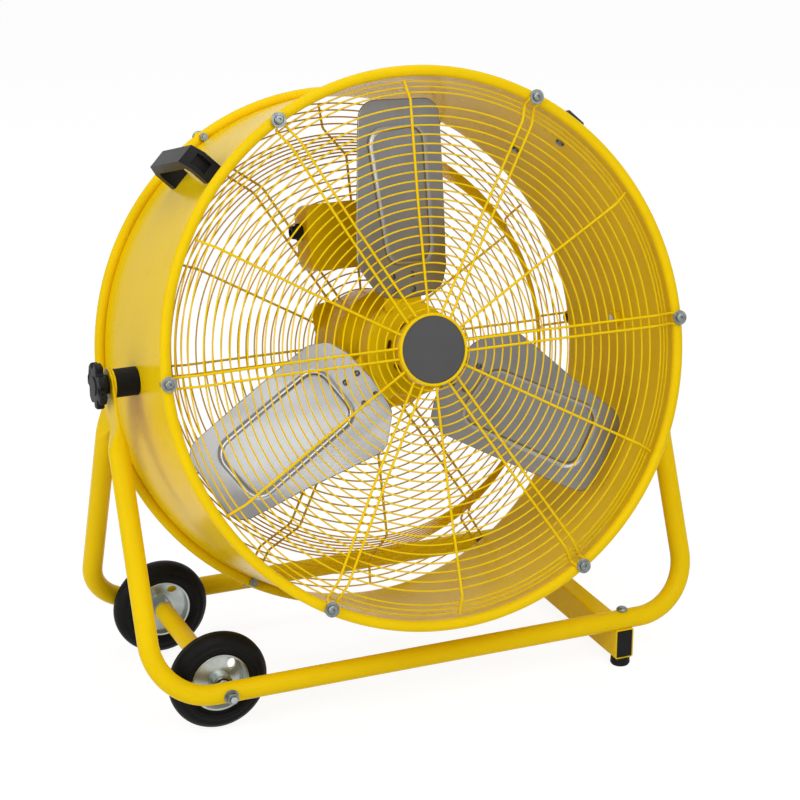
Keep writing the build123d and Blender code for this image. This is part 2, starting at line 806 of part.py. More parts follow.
def box_contents():
    with BuildPart() as switch:
        with BuildSketch(fan_plane.offset(box_rear + box_wall)):
            with Locations((switch_x, switch_y)):
                Rectangle(switch_body_side, switch_body_side)
                Circle(switch_shaft_radius + running_clearance, mode=Mode.SUBTRACT)
        extrude(amount=switch_body_depth)
    switch.part.label = "speed_switch"
    export_step(switch.part, "parts/speed_switch.step")
    place = fan_plane.offset(box_rear + box_wall + capacitor_radius)
    start = place.from_local_coords((box_x - capacitor_length / 2, box_y - box_tall / 2 + box_wall
                                     + capacitor_radius, 0))
    with BuildPart() as capacitor:
        with BuildSketch(Plane(origin=start, x_dir=upward, z_dir=(1, 0, 0))):
            Circle(capacitor_radius)
        extrude(amount=capacitor_length)
    capacitor.part.label = "run_capacitor"
    export_step(capacitor.part, "parts/run_capacitor.step")


def cable_gland():
    with BuildPart() as gland:
        with BuildSketch(gland_face()):
            RegularPolygon(gland_radius + 1.5, 6)
        extrude(amount=gland_length / 2)
        with BuildSketch(gland_face().offset(gland_length / 2)):
            Circle(gland_radius)
        extrude(amount=gland_length / 2, taper=12)
        with BuildSketch(gland_face()):
            Circle(gland_bore)
        extrude(amount=gland_length, mode=Mode.SUBTRACT)
    gland.part.label = "cable_gland"
    export_step(gland.part, "parts/cable_gland.step")


def switch_knob():
    """The speed dial stands behind the guard, with its spindle between two rings."""
    seat = rear_recess - ring_lift - ring_wire / 2 - dial_stand_off
    reach = box_rear + box_wall + switch_body_depth - seat
    with BuildPart() as knob:
        with BuildSketch(fan_plane.offset(seat)):
            with Locations((switch_x, switch_y)):
                Circle(dial_radius)
        extrude(amount=-dial_thickness)
        with BuildSketch(fan_plane.offset(seat - dial_thickness)):
            with Locations((switch_x, switch_y)):
                SlotOverall(2 * dial_radius - 4, grip_width, rotation=90)
        extrude(amount=-grip_height)
        with BuildSketch(fan_plane.offset(seat)):
            with Locations((switch_x, switch_y)):
                Circle(switch_shaft_radius)
        extrude(amount=reach)
    knob.part.label = "speed_dial"
    export_step(knob.part, "parts/speed_dial.step")


# ---------------------------------------------------------------- handles
def handles():
    """Two moulded strap handles with a screw pocket in the end of each leg."""
    for angle, name in ((180 - handle_angle, "left"), (handle_angle, "right")):
        foot = drum_side(angle, drum_outer_radius + weld_gap)
        side = Plane(origin=foot.origin, x_dir=foot.x_dir, z_dir=foot.x_dir.cross(foot.z_dir))
        near = handle_forward - handle_length / 2
        far = handle_forward + handle_length / 2
        with BuildPart() as handle:
            with BuildSketch(side):
                with BuildLine():
                    Polyline((near, 0), (near, handle_height - handle_chamfer),
                             (near + handle_chamfer, handle_height), (far - handle_chamfer, handle_height),
                             (far, handle_height - handle_chamfer), (far, 0),
                             (far - handle_leg, 0), (far - handle_leg, handle_height - handle_grip - 6),
                             (far - handle_leg - 6, handle_height - handle_grip),
                             (near + handle_leg + 6, handle_height - handle_grip),
                             (near + handle_leg, handle_height - handle_grip - 6), (near + handle_leg, 0),
                             close=True)
                make_face()
            extrude(amount=handle_width / 2, both=True)
            for end, inward in ((near, 1), (far, -1)):
                with BuildSketch(side):
                    with Locations((end + inward * handle_pocket_depth / 2, handle_height / 2)):
                        Rectangle(handle_pocket_depth, handle_pocket_height)
                extrude(amount=handle_pocket_width / 2, both=True, mode=Mode.SUBTRACT)
            with BuildSketch(foot):
                with Locations((handle_forward + handle_screw_half, 0),
                               (handle_forward - handle_screw_half, 0)):
                    Circle(handle_screw / 2)
            extrude(amount=handle_screw_depth, mode=Mode.SUBTRACT)
        handle.part.label = f"{name}_handle"
        export_step(handle.part, f"parts/{name}_handle.step")


def handle_screws():
    with BuildPart() as screws:
        for angle in (180 - handle_angle, handle_angle):
            seat = drum_side(angle, sqrt(drum_inner_radius ** 2 - handle_head_radius ** 2) - weld_gap)
            places = ((handle_forward + handle_screw_half, 0), (handle_forward - handle_screw_half, 0))
            with BuildSketch(seat):
                with Locations(*places):
                    Circle(handle_head_radius)
            extrude(amount=-handle_head_height, taper=20)
            with BuildSketch(seat):
                with Locations(*places):
                    Circle(handle_screw / 2)
            extrude(amount=drum_wall + handle_screw_depth - 1)
    screws.part.label = "handle_screws"
    export_step(screws.part, "parts/handle_screws.step")


# ---------------------------------------------------------------- pivots
def side_plane(side, out):
    """Square to the pivot axis at a distance from the middle, facing outwards."""
    return Plane(origin=(side * out, 0, pivot_height), x_dir=(0, 0, 1), z_dir=(side, 0, 0))


def pivot_spacers():
    for side, name in ((-1, "left"), (1, "right")):
        with BuildPart() as spacer:
            with BuildSketch(side_plane(side, spacer_seat)):
                Circle(spacer_radius)
                Circle(pivot_bolt / 2 + running_clearance, mode=Mode.SUBTRACT)
            extrude(amount=plate_inner_face - rubbing_gap - spacer_seat)
            fillet(spacer.edges().filter_by(GeomType.CIRCLE).group_by(SortBy.RADIUS)[-1], 1)
        spacer.part.label = f"{name}_pivot_spacer"
        export_step(spacer.part, f"parts/{name}_pivot_spacer.step")


def pivot_nuts():
    seat = sqrt(drum_inner_radius ** 2 - (pivot_nut_flats / 2) ** 2) - weld_gap
    with BuildPart() as nuts:
        for side in (-1, 1):
            with BuildSketch(side_plane(side, seat)):
                RegularPolygon(pivot_nut_flats / 2, 6, major_radius=False, rotation=30)
                Circle(pivot_bolt / 2 + running_clearance, mode=Mode.SUBTRACT)
            extrude(amount=-pivot_nut_height)
    nuts.part.label = "pivot_nuts"
    export_step(nuts.part, "parts/pivot_nuts.step")


def clamp_knobs():
    """Star knobs, each moulded on a long stud that reaches the nut inside the drum."""
    stem_start = plate_outer_face + rubbing_gap
    disc_start = stem_start + knob_stem_length
    for side, name in ((-1, "left"), (1, "right")):
        with BuildPart() as knob:
            with BuildSketch(side_plane(side, stem_start)):
                Circle(knob_stem_radius)
            extrude(amount=knob_stem_length)
            with BuildSketch(side_plane(side, disc_start)) as star:
                Circle(knob_radius)
                with PolarLocations(knob_radius + 1.5, knob_lobes):
                    Circle(knob_notch_radius, mode=Mode.SUBTRACT)
                fillet(star.vertices(), 2)
            extrude(amount=knob_thickness)
            with BuildSketch(side_plane(side, disc_start + knob_thickness - knob_recess)):
                Circle(knob_stem_radius)
            extrude(amount=knob_recess, mode=Mode.SUBTRACT)
            with BuildSketch(side_plane(side, stem_start)):
                Circle(pivot_bolt / 2)
            extrude(amount=knob_stem_length + knob_thickness / 2, mode=Mode.SUBTRACT)
        knob.part.label = f"{name}_clamp_knob"
        export_step(knob.part, f"parts/{name}_clamp_knob.step")
        with BuildPart() as stud:
            with BuildSketch(side_plane(side, stud_end)):
                Circle(pivot_bolt / 2)
            extrude(amount=disc_start + knob_thickness / 2 - stud_end)
        stud.part.label = f"{name}_clamp_stud"
        export_step(stud.part, f"parts/{name}_clamp_stud.step")


# ---------------------------------------------------------------- stand
def stand_tube(side, half_width):
    """A U of round tube: a rail and two legs whose ends are pressed flat round the pivot."""
    lean = Vector(0, -side * rail_half_spread, pivot_height - rail_height) / leg_length
    plane = Plane(origin=(0, side * rail_half_spread, rail_height), x_dir=(1, 0, 0),
                  z_dir=Vector(1, 0, 0).cross(lean))
    flat_begin = leg_length - flat_length
    round_end = flat_begin - flat_transition
    with BuildPart() as tube:
        with BuildLine(plane) as path:
            FilletPolyline((-half_width, round_end), (-half_width, 0), (half_width, 0),
                           (half_width, round_end), radius=bend_radius)
        with BuildSketch(path.line ^ 0):
            Circle(tube_radius)
            Circle(tube_radius - tube_wall, mode=Mode.SUBTRACT)
        sweep(path=path.line)
        for end in (-1, 1):
            middle = plane.from_local_coords((end * half_width, 0, 0))
            leg = Plane(origin=middle, x_dir=(1, 0, 0), z_dir=lean)
            with BuildSketch(leg.offset(round_end)):
                Circle(tube_radius)
            with BuildSketch(leg.offset(flat_begin)):
                RectangleRounded(flat_thickness, flat_width, flat_thickness * 0.45)
            loft()
            face = Plane(origin=middle, x_dir=lean, z_dir=(1, 0, 0))
            with BuildSketch(face.offset(-flat_thickness / 2)):
                with Locations(((flat_begin + leg_length) / 2, 0)):
                    Rectangle(leg_length - flat_begin, flat_width)
                with Locations((leg_length, 0)):
                    Circle(flat_width / 2)
                    Circle(pivot_bolt / 2 + running_clearance, mode=Mode.SUBTRACT)
            extrude(amount=flat_thickness)
        with BuildSketch(axle_line):
            Circle(axle_bolt / 2 + running_clearance)
        extrude(amount=2 * rail_half_spread, both=True, mode=Mode.SUBTRACT)
        with BuildSketch(Plane.XY):
            with Locations((crossbar_place, side * rail_half_spread)):
                Circle(foot_bolt / 2 + running_clearance)
        extrude(amount=2 * rail_height, mode=Mode.SUBTRACT)
    return tube.part


def stand_tubes():
    for side, half_width, name in ((-1, stand_half_width + flat_thickness, "front"),
                                   (1, stand_half_width, "rear")):
        tube = stand_tube(side, half_width)
        tube.label = f"{name}_stand_tube"
        export_step(tube, f"parts/{name}_stand_tube.step")


def crossbar():
    with BuildPart() as bar:
        with BuildSketch(Plane.XZ.offset(-crossbar_half)):
            with Locations((crossbar_place, foot_height + crossbar_tall / 2)):
                RectangleRounded(crossbar_width, crossbar_tall, crossbar_corner)
                RectangleRounded(crossbar_width - 2 * crossbar_wall, crossbar_tall - 2 * crossbar_wall,
                                 crossbar_corner - crossbar_wall, mode=Mode.SUBTRACT)
        extrude(amount=2 * crossbar_half)
        with BuildSketch(Plane.YZ.offset(crossbar_place - crossbar_width)):
            with Locations((rail_half_spread, rail_height), (-rail_half_spread, rail_height)):
                Circle(tube_radius + weld_gap)
        extrude(amount=2 * crossbar_width, mode=Mode.SUBTRACT)
        with BuildSketch(Plane.XY):
            with Locations((crossbar_place, rail_half_spread), (crossbar_place, -rail_half_spread)):
                Circle(foot_bolt / 2 + running_clearance)
        extrude(amount=rail_height, mode=Mode.SUBTRACT)
    bar.part.label = "crossbar"
    export_step(bar.part, "parts/crossbar.step")


def crossbar_caps():
    """Plugs pushed into the crossbar's ends, so the tube's edge shows round them."""
    with BuildPart() as caps:
        for end in (-1, 1):
            face = Plane(origin=(crossbar_place, end * crossbar_half, foot_height + crossbar_tall / 2),
                         x_dir=(1, 0, 0), z_dir=(0, end, 0))
            with BuildSketch(face.offset(cap_proud)):
                RectangleRounded(crossbar_width - 2 * crossbar_wall - 2 * weld_gap,
                                 crossbar_tall - 2 * crossbar_wall - 2 * weld_gap,
                                 crossbar_corner - crossbar_wall)
            extrude(amount=-cap_proud - cap_plug)
    caps.part.label = "crossbar_end_caps"
    export_step(caps.part, "parts/crossbar_end_caps.step")


def feet():
    places = ((crossbar_place, rail_half_spread), (crossbar_place, -rail_half_spread))
    with BuildPart() as rubber:
        with BuildSketch(Plane.XY):
            with Locations(*places):
                Circle(foot_radius)
        extrude(amount=foot_height)
        fillet(rubber.edges().group_by(Axis.Z)[0], 1.5)
        with BuildSketch(Plane.XY.offset(foot_bolt_end)):
            with Locations(*places):
                Circle(foot_bolt / 2)
        extrude(amount=foot_height, mode=Mode.SUBTRACT)
    rubber.part.label = "rubber_feet"
    export_step(rubber.part, "parts/rubber_feet.step")
    with BuildPart() as bolts:
        with BuildSketch(Plane.XY.offset(foot_bolt_end)):
            with Locations(*places):
                Circle(foot_bolt / 2)
        extrude(amount=rail_height + tube_radius - foot_bolt_end)
        with BuildSketch(Plane.XY.offset(rail_height + tube_radius)):
            with Locations(*places):
                Circle(dome_radius)
        extrude(amount=dome_height)
        fillet(bolts.edges().group_by(Axis.Z)[-1], dome_height * 0.8)
    bolts.part.label = "crossbar_bolts"
    export_step(bolts.part, "parts/crossbar_bolts.step")


# ---------------------------------------------------------------- wheels and axle
def axle():
    tube_half = wheel_half_track - wheel_hub_length / 2 - rubbing_gap
    end = rail_half_spread + tube_radius
    with BuildPart() as tube:
        with BuildSketch(axle_line):
            Circle(axle_tube_radius)
            Circle(axle_tube_radius - axle_tube_wall, mode=Mode.SUBTRACT)
        extrude(amount=tube_half, both=True)
    tube.part.label = "axle_tube"
    export_step(tube.part, "parts/axle_tube.step")
    with BuildPart() as plugs:
        for side in (-1, 1):
            with BuildSketch(axle_line.offset(side * tube_half)):
                Circle(axle_tube_radius - axle_tube_wall)
                Circle(axle_bolt / 2, mode=Mode.SUBTRACT)
            extrude(amount=-side * plug_length)
    plugs.part.label = "axle_tube_plugs"
    export_step(plugs.part, "parts/axle_tube_plugs.step")
    with BuildPart() as rod:
        with BuildSketch(axle_line):
            Circle(axle_bolt / 2)
        extrude(amount=end + axle_washer_thickness + axle_nut_height + axle_stub, both=True)
    rod.part.label = "axle_rod"
    export_step(rod.part, "parts/axle_rod.step")
    with BuildPart() as washers:
        for side in (-1, 1):
            with BuildSketch(axle_line.offset(side * end)):
                Circle(axle_washer_radius)
                Circle(axle_bolt / 2, mode=Mode.SUBTRACT)
            extrude(amount=side * axle_washer_thickness)
    washers.part.label = "axle_washers"
    export_step(washers.part, "parts/axle_washers.step")
    with BuildPart() as nuts:
        for side in (-1, 1):
            with BuildSketch(axle_line.offset(side * (end + axle_washer_thickness))):
                RegularPolygon(axle_nut_flats / 2, 6, major_radius=False)
                Circle(axle_bolt / 2, mode=Mode.SUBTRACT)
            extrude(amount=side * axle_nut_height)
    nuts.part.label = "axle_nuts"
    export_step(nuts.part, "parts/axle_nuts.step")
    hub_end = wheel_half_track + wheel_hub_length / 2 + rubbing_gap
    with BuildPart() as collars:
        for side in (-1, 1):
            with BuildSketch(axle_line.offset(side * hub_end)):
                Circle(collar_radius)
                Circle(axle_bolt / 2, mode=Mode.SUBTRACT)
            extrude(amount=side * (rail_half_spread - tube_radius - hub_end))
    collars.part.label = "wheel_collars"
    export_step(collars.part, "parts/wheel_collars.step")


def wheel_section(side):
    """A plane through the wheel's axis: x out from the axle, y towards the outer face."""
    middle = Vector(wheel_place, side * wheel_half_track, rail_height)
    return Plane(origin=middle, x_dir=(1, 0, 0), z_dir=Vector(1, 0, 0).cross(Vector(0, side, 0)))


def wheels():
    for side, name in ((-1, "front"), (1, "rear")):
        section = wheel_section(side)
        spin = Axis((wheel_place, 0, rail_height), (0, 1, 0))
        half = tyre_width / 2
        bush_outer = axle_bolt / 2 + running_clearance + bush_wall
        with BuildPart() as tyre:
            with BuildSketch(section) as profile:
                with BuildLine():
                    Polyline((tyre_seat, -rim_half_width), (tyre_seat + rim_groove, -rim_half_width),
                             (tyre_seat + 2 * rim_groove, -half), (wheel_radius - tyre_shoulder, -half),
                             (wheel_radius, -half + tyre_shoulder), (wheel_radius, half - tyre_shoulder),
                             (wheel_radius - tyre_shoulder, half), (tyre_seat + 2 * rim_groove, half),
                             (tyre_seat + rim_groove, rim_half_width), (tyre_seat, rim_half_width),
                             close=True)
                make_face()
                fillet(profile.vertices().group_by(Axis.X)[-1], 7)
            revolve(axis=spin)
        tyre.part.label = f"{name}_wheel_tyre"
        export_step(tyre.part, f"parts/{name}_wheel_tyre.step")
        with BuildPart() as rim:
            with BuildSketch(section):
                with Locations((tyre_seat - rim_sheet / 2, 0)):
                    Rectangle(rim_sheet, 2 * rim_half_width)
                with BuildLine():
                    Polyline((wheel_hub_radius - rim_sheet / 2, dish_depth + rim_sheet / 2),
                             (wheel_hub_radius + 6, dish_depth + rim_sheet / 2),
                             (tyre_seat - 5, rim_sheet / 2), (tyre_seat - rim_sheet / 2, rim_sheet / 2),
                             (tyre_seat - rim_sheet / 2, -rim_sheet / 2), (tyre_seat - 5, -rim_sheet / 2),
                             (wheel_hub_radius + 6, dish_depth - rim_sheet / 2),
                             (wheel_hub_radius - rim_sheet / 2, dish_depth - rim_sheet / 2), close=True)
                make_face()
                with Locations(((wheel_hub_radius + bush_outer) / 2, 0)):
                    Rectangle(wheel_hub_radius - bush_outer, wheel_hub_length)
            revolve(axis=spin)
            with BuildSketch(axle_line.offset(-side * (wheel_half_track - tyre_width))):
                with PolarLocations((wheel_hub_radius + tyre_seat) / 2 + 1, 1, start_angle=50):
                    Circle(dish_hole / 2)
            extrude(amount=-side * 2 * tyre_width, mode=Mode.SUBTRACT)
        rim.part.label = f"{name}_wheel_rim"
        export_step(rim.part, f"parts/{name}_wheel_rim.step")
        with BuildPart() as bush:
            with BuildSketch(section):
                with Locations(((bush_outer + axle_bolt / 2 + running_clearance) / 2, 0)):
                    Rectangle(bush_wall, wheel_hub_length)
            revolve(axis=spin)
        bush.part.label = f"{name}_wheel_bush"
        export_step(bush.part, f"parts/{name}_wheel_bush.step")


drum_shell()
front_guard()
guard_centre_cup()
guard_centre_disc()
rear_guard()
guard_bolts()
motor_mount_plate()
mount_bolts()
motor_housing()
motor_bells()
motor_bearings()
stator()
rotor_core()
rotor_shaft()
blades()
fan_hub()
blade_rivets()
hub_nut()
control_box()
box_contents()
cable_gland()
switch_knob()
handles()
handle_screws()
pivot_spacers()
pivot_nuts()
clamp_knobs()
stand_tubes()
crossbar()
crossbar_caps()
feet()
axle()
wheels()
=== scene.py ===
import json
from math import cos, pi, radians, sin

import bmesh
import bpy
import numpy as np
from bpy.props import FloatProperty, FloatVectorProperty, IntProperty, PointerProperty
from bpy.types import Operator, Panel, PropertyGroup
from mathutils import Matrix


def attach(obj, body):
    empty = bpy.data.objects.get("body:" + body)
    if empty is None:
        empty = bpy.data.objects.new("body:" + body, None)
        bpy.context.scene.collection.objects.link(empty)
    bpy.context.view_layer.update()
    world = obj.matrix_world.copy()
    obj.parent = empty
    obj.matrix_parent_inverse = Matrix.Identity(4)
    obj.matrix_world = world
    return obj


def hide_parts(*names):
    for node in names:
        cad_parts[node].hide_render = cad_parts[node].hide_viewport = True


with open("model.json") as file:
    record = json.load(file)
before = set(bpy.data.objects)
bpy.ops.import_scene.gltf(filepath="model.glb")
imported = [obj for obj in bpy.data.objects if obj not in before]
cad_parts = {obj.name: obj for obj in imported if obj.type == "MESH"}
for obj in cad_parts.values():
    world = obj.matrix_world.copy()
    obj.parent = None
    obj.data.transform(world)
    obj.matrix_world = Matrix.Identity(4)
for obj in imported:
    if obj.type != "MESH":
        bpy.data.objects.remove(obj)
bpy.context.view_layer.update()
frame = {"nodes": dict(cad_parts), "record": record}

bl_info = {
    "name": "Drum Fan Pieces",
    "version": (1, 0, 0),
    "blender": (4, 5, 0),
    "location": "View3D > Sidebar > Drum Fan",
    "description": "Makes the painted, plated and moulded pieces of a tilting drum fan",
    "category": "Add Mesh",
}

NODES = frame["nodes"]


# ---------------------------------------------------------------- sizes and colours
def size(name, description, millimetres):
    """A length property given in millimetres and kept in metres."""
    return FloatProperty(name=name, description=description, default=millimetres / 1000,
                         unit="LENGTH", subtype="DISTANCE", precision=5)


def number(name, description, default):
    """A count property."""
    return IntProperty(name=name, description=description, default=default, min=1)


def colour(name, description, default):
    """A linear colour property."""
    return FloatVectorProperty(name=name, description=description, default=default,
                               subtype="COLOR", size=3, min=0, max=1)


class DrumFanPlace(PropertyGroup):
    pivot_height: size("Pivot height", "Height of the tilt pivots over the floor", 408)
    tilt: FloatProperty(name="Tilt", description="How far the front looks up from level",
                        default=radians(16.0), subtype="ANGLE", unit="ROTATION")


class DrumFanShell(PropertyGroup):
    inner: size("Inner radius", "Inside of the drum's wall", 318)
    wall: size("Wall", "Thickness of the drum's sheet", 1.5)
    half: size("Half depth", "From the middle of the drum to the middle of a bead", 140.5)
    bead: size("Bead", "Radius of the rolled bead", 6.5)


class DrumFanGuard(PropertyGroup):
    ring: size("Ring wire", "Diameter of the ring wire", 2)
    spoke: size("Spoke wire", "Diameter of the spoke wire", 3)
    pair: size("Pair half gap", "Half the distance between two paired spokes", 6.3)
    pitch: size("Ring pitch", "Distance from ring to ring", 10.7)
    rim_pitch: size("Rim pitch", "Distance from ring to ring near the rim", 7.6)
    cone_pitch: size("Cone pitch", "Distance from ring to ring on the rear cone", 9)
    pairs: number("Pairs", "How many pairs of spokes", 6)


class DrumFanBlades(PropertyGroup):
    count: number("Blades", "How many blades", 3)
    sheet: size("Sheet", "Thickness of a blade", 2)
    middle: size("Middle", "Forward place of the blades' radial line", 72)
    ridge: size("Ridge", "Depth of the pressed groove", 1.4)
    ridge_width: size("Ridge width", "Half width of the pressed groove", 4.6)


class DrumFanStand(PropertyGroup):
    tube: size("Tube radius", "Outside of the stand's tube", 12.5)
    rail: size("Rail height", "Middle of the rails over the floor", 61)
    spread: size("Rail half spread", "Half the distance between the rails", 150)
    half: size("Half width", "Middle of the rear tube's legs", 350.2)
    bend: size("Bend", "Radius of the bends, on the tube's middle", 72)
    flat: size("Flat", "Thickness of the flattened ends", 3.2)
    flat_width: size("Flat width", "Width of the flattened ends", 39)
    flat_length: size("Flat length", "From the pivot down the leg", 46)
    change: size("Change", "Length over which the tube goes flat", 36)


class DrumFanWheels(PropertyGroup):
    place: size("Place", "Where the axle stands across the fan", -266.5)
    radius: size("Radius", "Outside of the tyre", 61)
    track: size("Half track", "From the middle of the stand to the middle of a wheel", 113)
    width: size("Width", "Width of the tyre", 30)


class DrumFanColours(PropertyGroup):
    yellow: colour("Yellow", "Powder coat", (0.84, 0.57, 0.004))
    grey: colour("Disc grey", "Paint of the centre disc", (0.072, 0.072, 0.074))
    zinc: colour("Zinc", "Plating of the bolts and wheel rims", (0.47, 0.51, 0.49))
    aluminium: colour("Aluminium", "Sheet of the blades", (0.25, 0.25, 0.248))
    black: colour("Black", "Moulded plastic", (0.009, 0.009, 0.0095))
    rubber: colour("Rubber", "Tyres, feet and spacers", (0.008, 0.008, 0.008))
    floor: colour("Floor", "The pale floor", (0.88, 0.88, 0.88))


GROUPS = {
    "drum_fan_place": DrumFanPlace,
    "drum_fan_shell": DrumFanShell,
    "drum_fan_guard": DrumFanGuard,
    "drum_fan_blades": DrumFanBlades,
    "drum_fan_stand": DrumFanStand,
    "drum_fan_wheels": DrumFanWheels,
    "drum_fan_colours": DrumFanColours,
}


# ---------------------------------------------------------------- places
def spots(x, y, z):
    """Points from three coordinates, each a number or an array, spread to one shape."""
    return np.stack(np.broadcast_arrays(x, y, z), -1)


def on_fan(x, up, ahead):
    """Points beside the fan's axis: x sideways, up square to the axis, ahead along it."""
    place = bpy.context.scene.drum_fan_place
    c, s = cos(place.tilt), sin(place.tilt)
    return spots(x, up * s - ahead * c, place.pivot_height + up * c + ahead * s)


def on_pivot(side):
    """Points round the pivot axis on one side: x forward, up, ahead outwards from the middle."""
    height = bpy.context.scene.drum_fan_place.pivot_height
    return lambda x, up, ahead: spots(side * ahead, x, height + up)


def on_wheel(side):
    """Points round a wheel's axis: ahead counts outwards from the wheel's middle."""
    wheel = bpy.context.scene.drum_fan_wheels
    rail = bpy.context.scene.drum_fan_stand.rail
    return lambda x, up, ahead: spots(wheel.place + x, side * (wheel.track + ahead), rail + up)


def upright(x0, y0):
    """Points round an upright line: ahead is height."""
    return lambda x, up, ahead: spots(x0 + x, y0 + up, ahead)


# ---------------------------------------------------------------- lines
def rounded(corners, radii, closed=False, arc_step=radians(10), run_step=None):
    """A flat line through corners, each corner an arc of its radius that touches both runs."""
    corners = np.asarray(corners, float)
    count = len(corners)
    radii = np.broadcast_to(radii, count)
    pieces = []
    for i in range(count):
        at, half = corners[i], pi / 2
        if (closed or 0 < i < count - 1) and radii[i] > 0:
            back, on = corners[i - 1] - at, corners[(i + 1) % count] - at
            back, on = back / np.hypot(*back), on / np.hypot(*on)
            half = np.arccos(np.clip(back @ on, -1, 1)) / 2
        if half > pi / 2 - 1e-3:
            pieces.append(at[None])
            continue
        cut = radii[i] / np.tan(half)
        middle = at + (back + on) / np.hypot(*(back + on)) * radii[i] / np.sin(half)
        first, last = at + back * cut - middle, at + on * cut - middle
        start = np.arctan2(first[1], first[0])
        sweep = (np.arctan2(last[1], last[0]) - start + pi) % (2 * pi) - pi
        steps = max(2, int(abs(sweep) / arc_step) + 1)
        angle = start + sweep * np.linspace(0, 1, steps + 1)
        pieces.append(middle + radii[i] * np.stack([np.cos(angle), np.sin(angle)], 1))
    line = np.concatenate(pieces)
    return refined(line, run_step, closed) if run_step else line


def refined(line, step, closed):
    """The same line with its long runs cut into equal shares no longer than step."""
    ends = np.concatenate([line[1:], line[:1]]) if closed else line[1:]
    shares = []
    for a, b in zip(line[:len(ends)], ends):
        n = max(1, int(np.ceil(np.hypot(*(b - a)) / step)))
        shares.append(a + (b - a) * (np.arange(n) / n)[:, None])
    if not closed:
        shares.append(line[-1:])
    return np.concatenate(shares)


def shaped(*corners, closed=True, run_step=None):
    """A line through corners that are each given as (x, y, radius)."""
    table = np.array(corners, float)
    return rounded(table[:, :2], table[:, 2], closed, run_step=run_step)


def inward(outline):
    """Unit normals that point into a closed outline, whichever way round it runs."""
    run = np.roll(outline, -1, 0) - np.roll(outline, 1, 0)
    normals = np.stack([-run[:, 1], run[:, 0]], 1)
    normals /= np.hypot(*normals.T)[:, None]
    x, y = outline.T
    return normals * np.sign((x * np.roll(y, -1) - y * np.roll(x, -1)).sum())


# ---------------------------------------------------------------- meshes
# A solid profile stops this far from its axis, so that the end face has a width.
AXIS = 0.0001


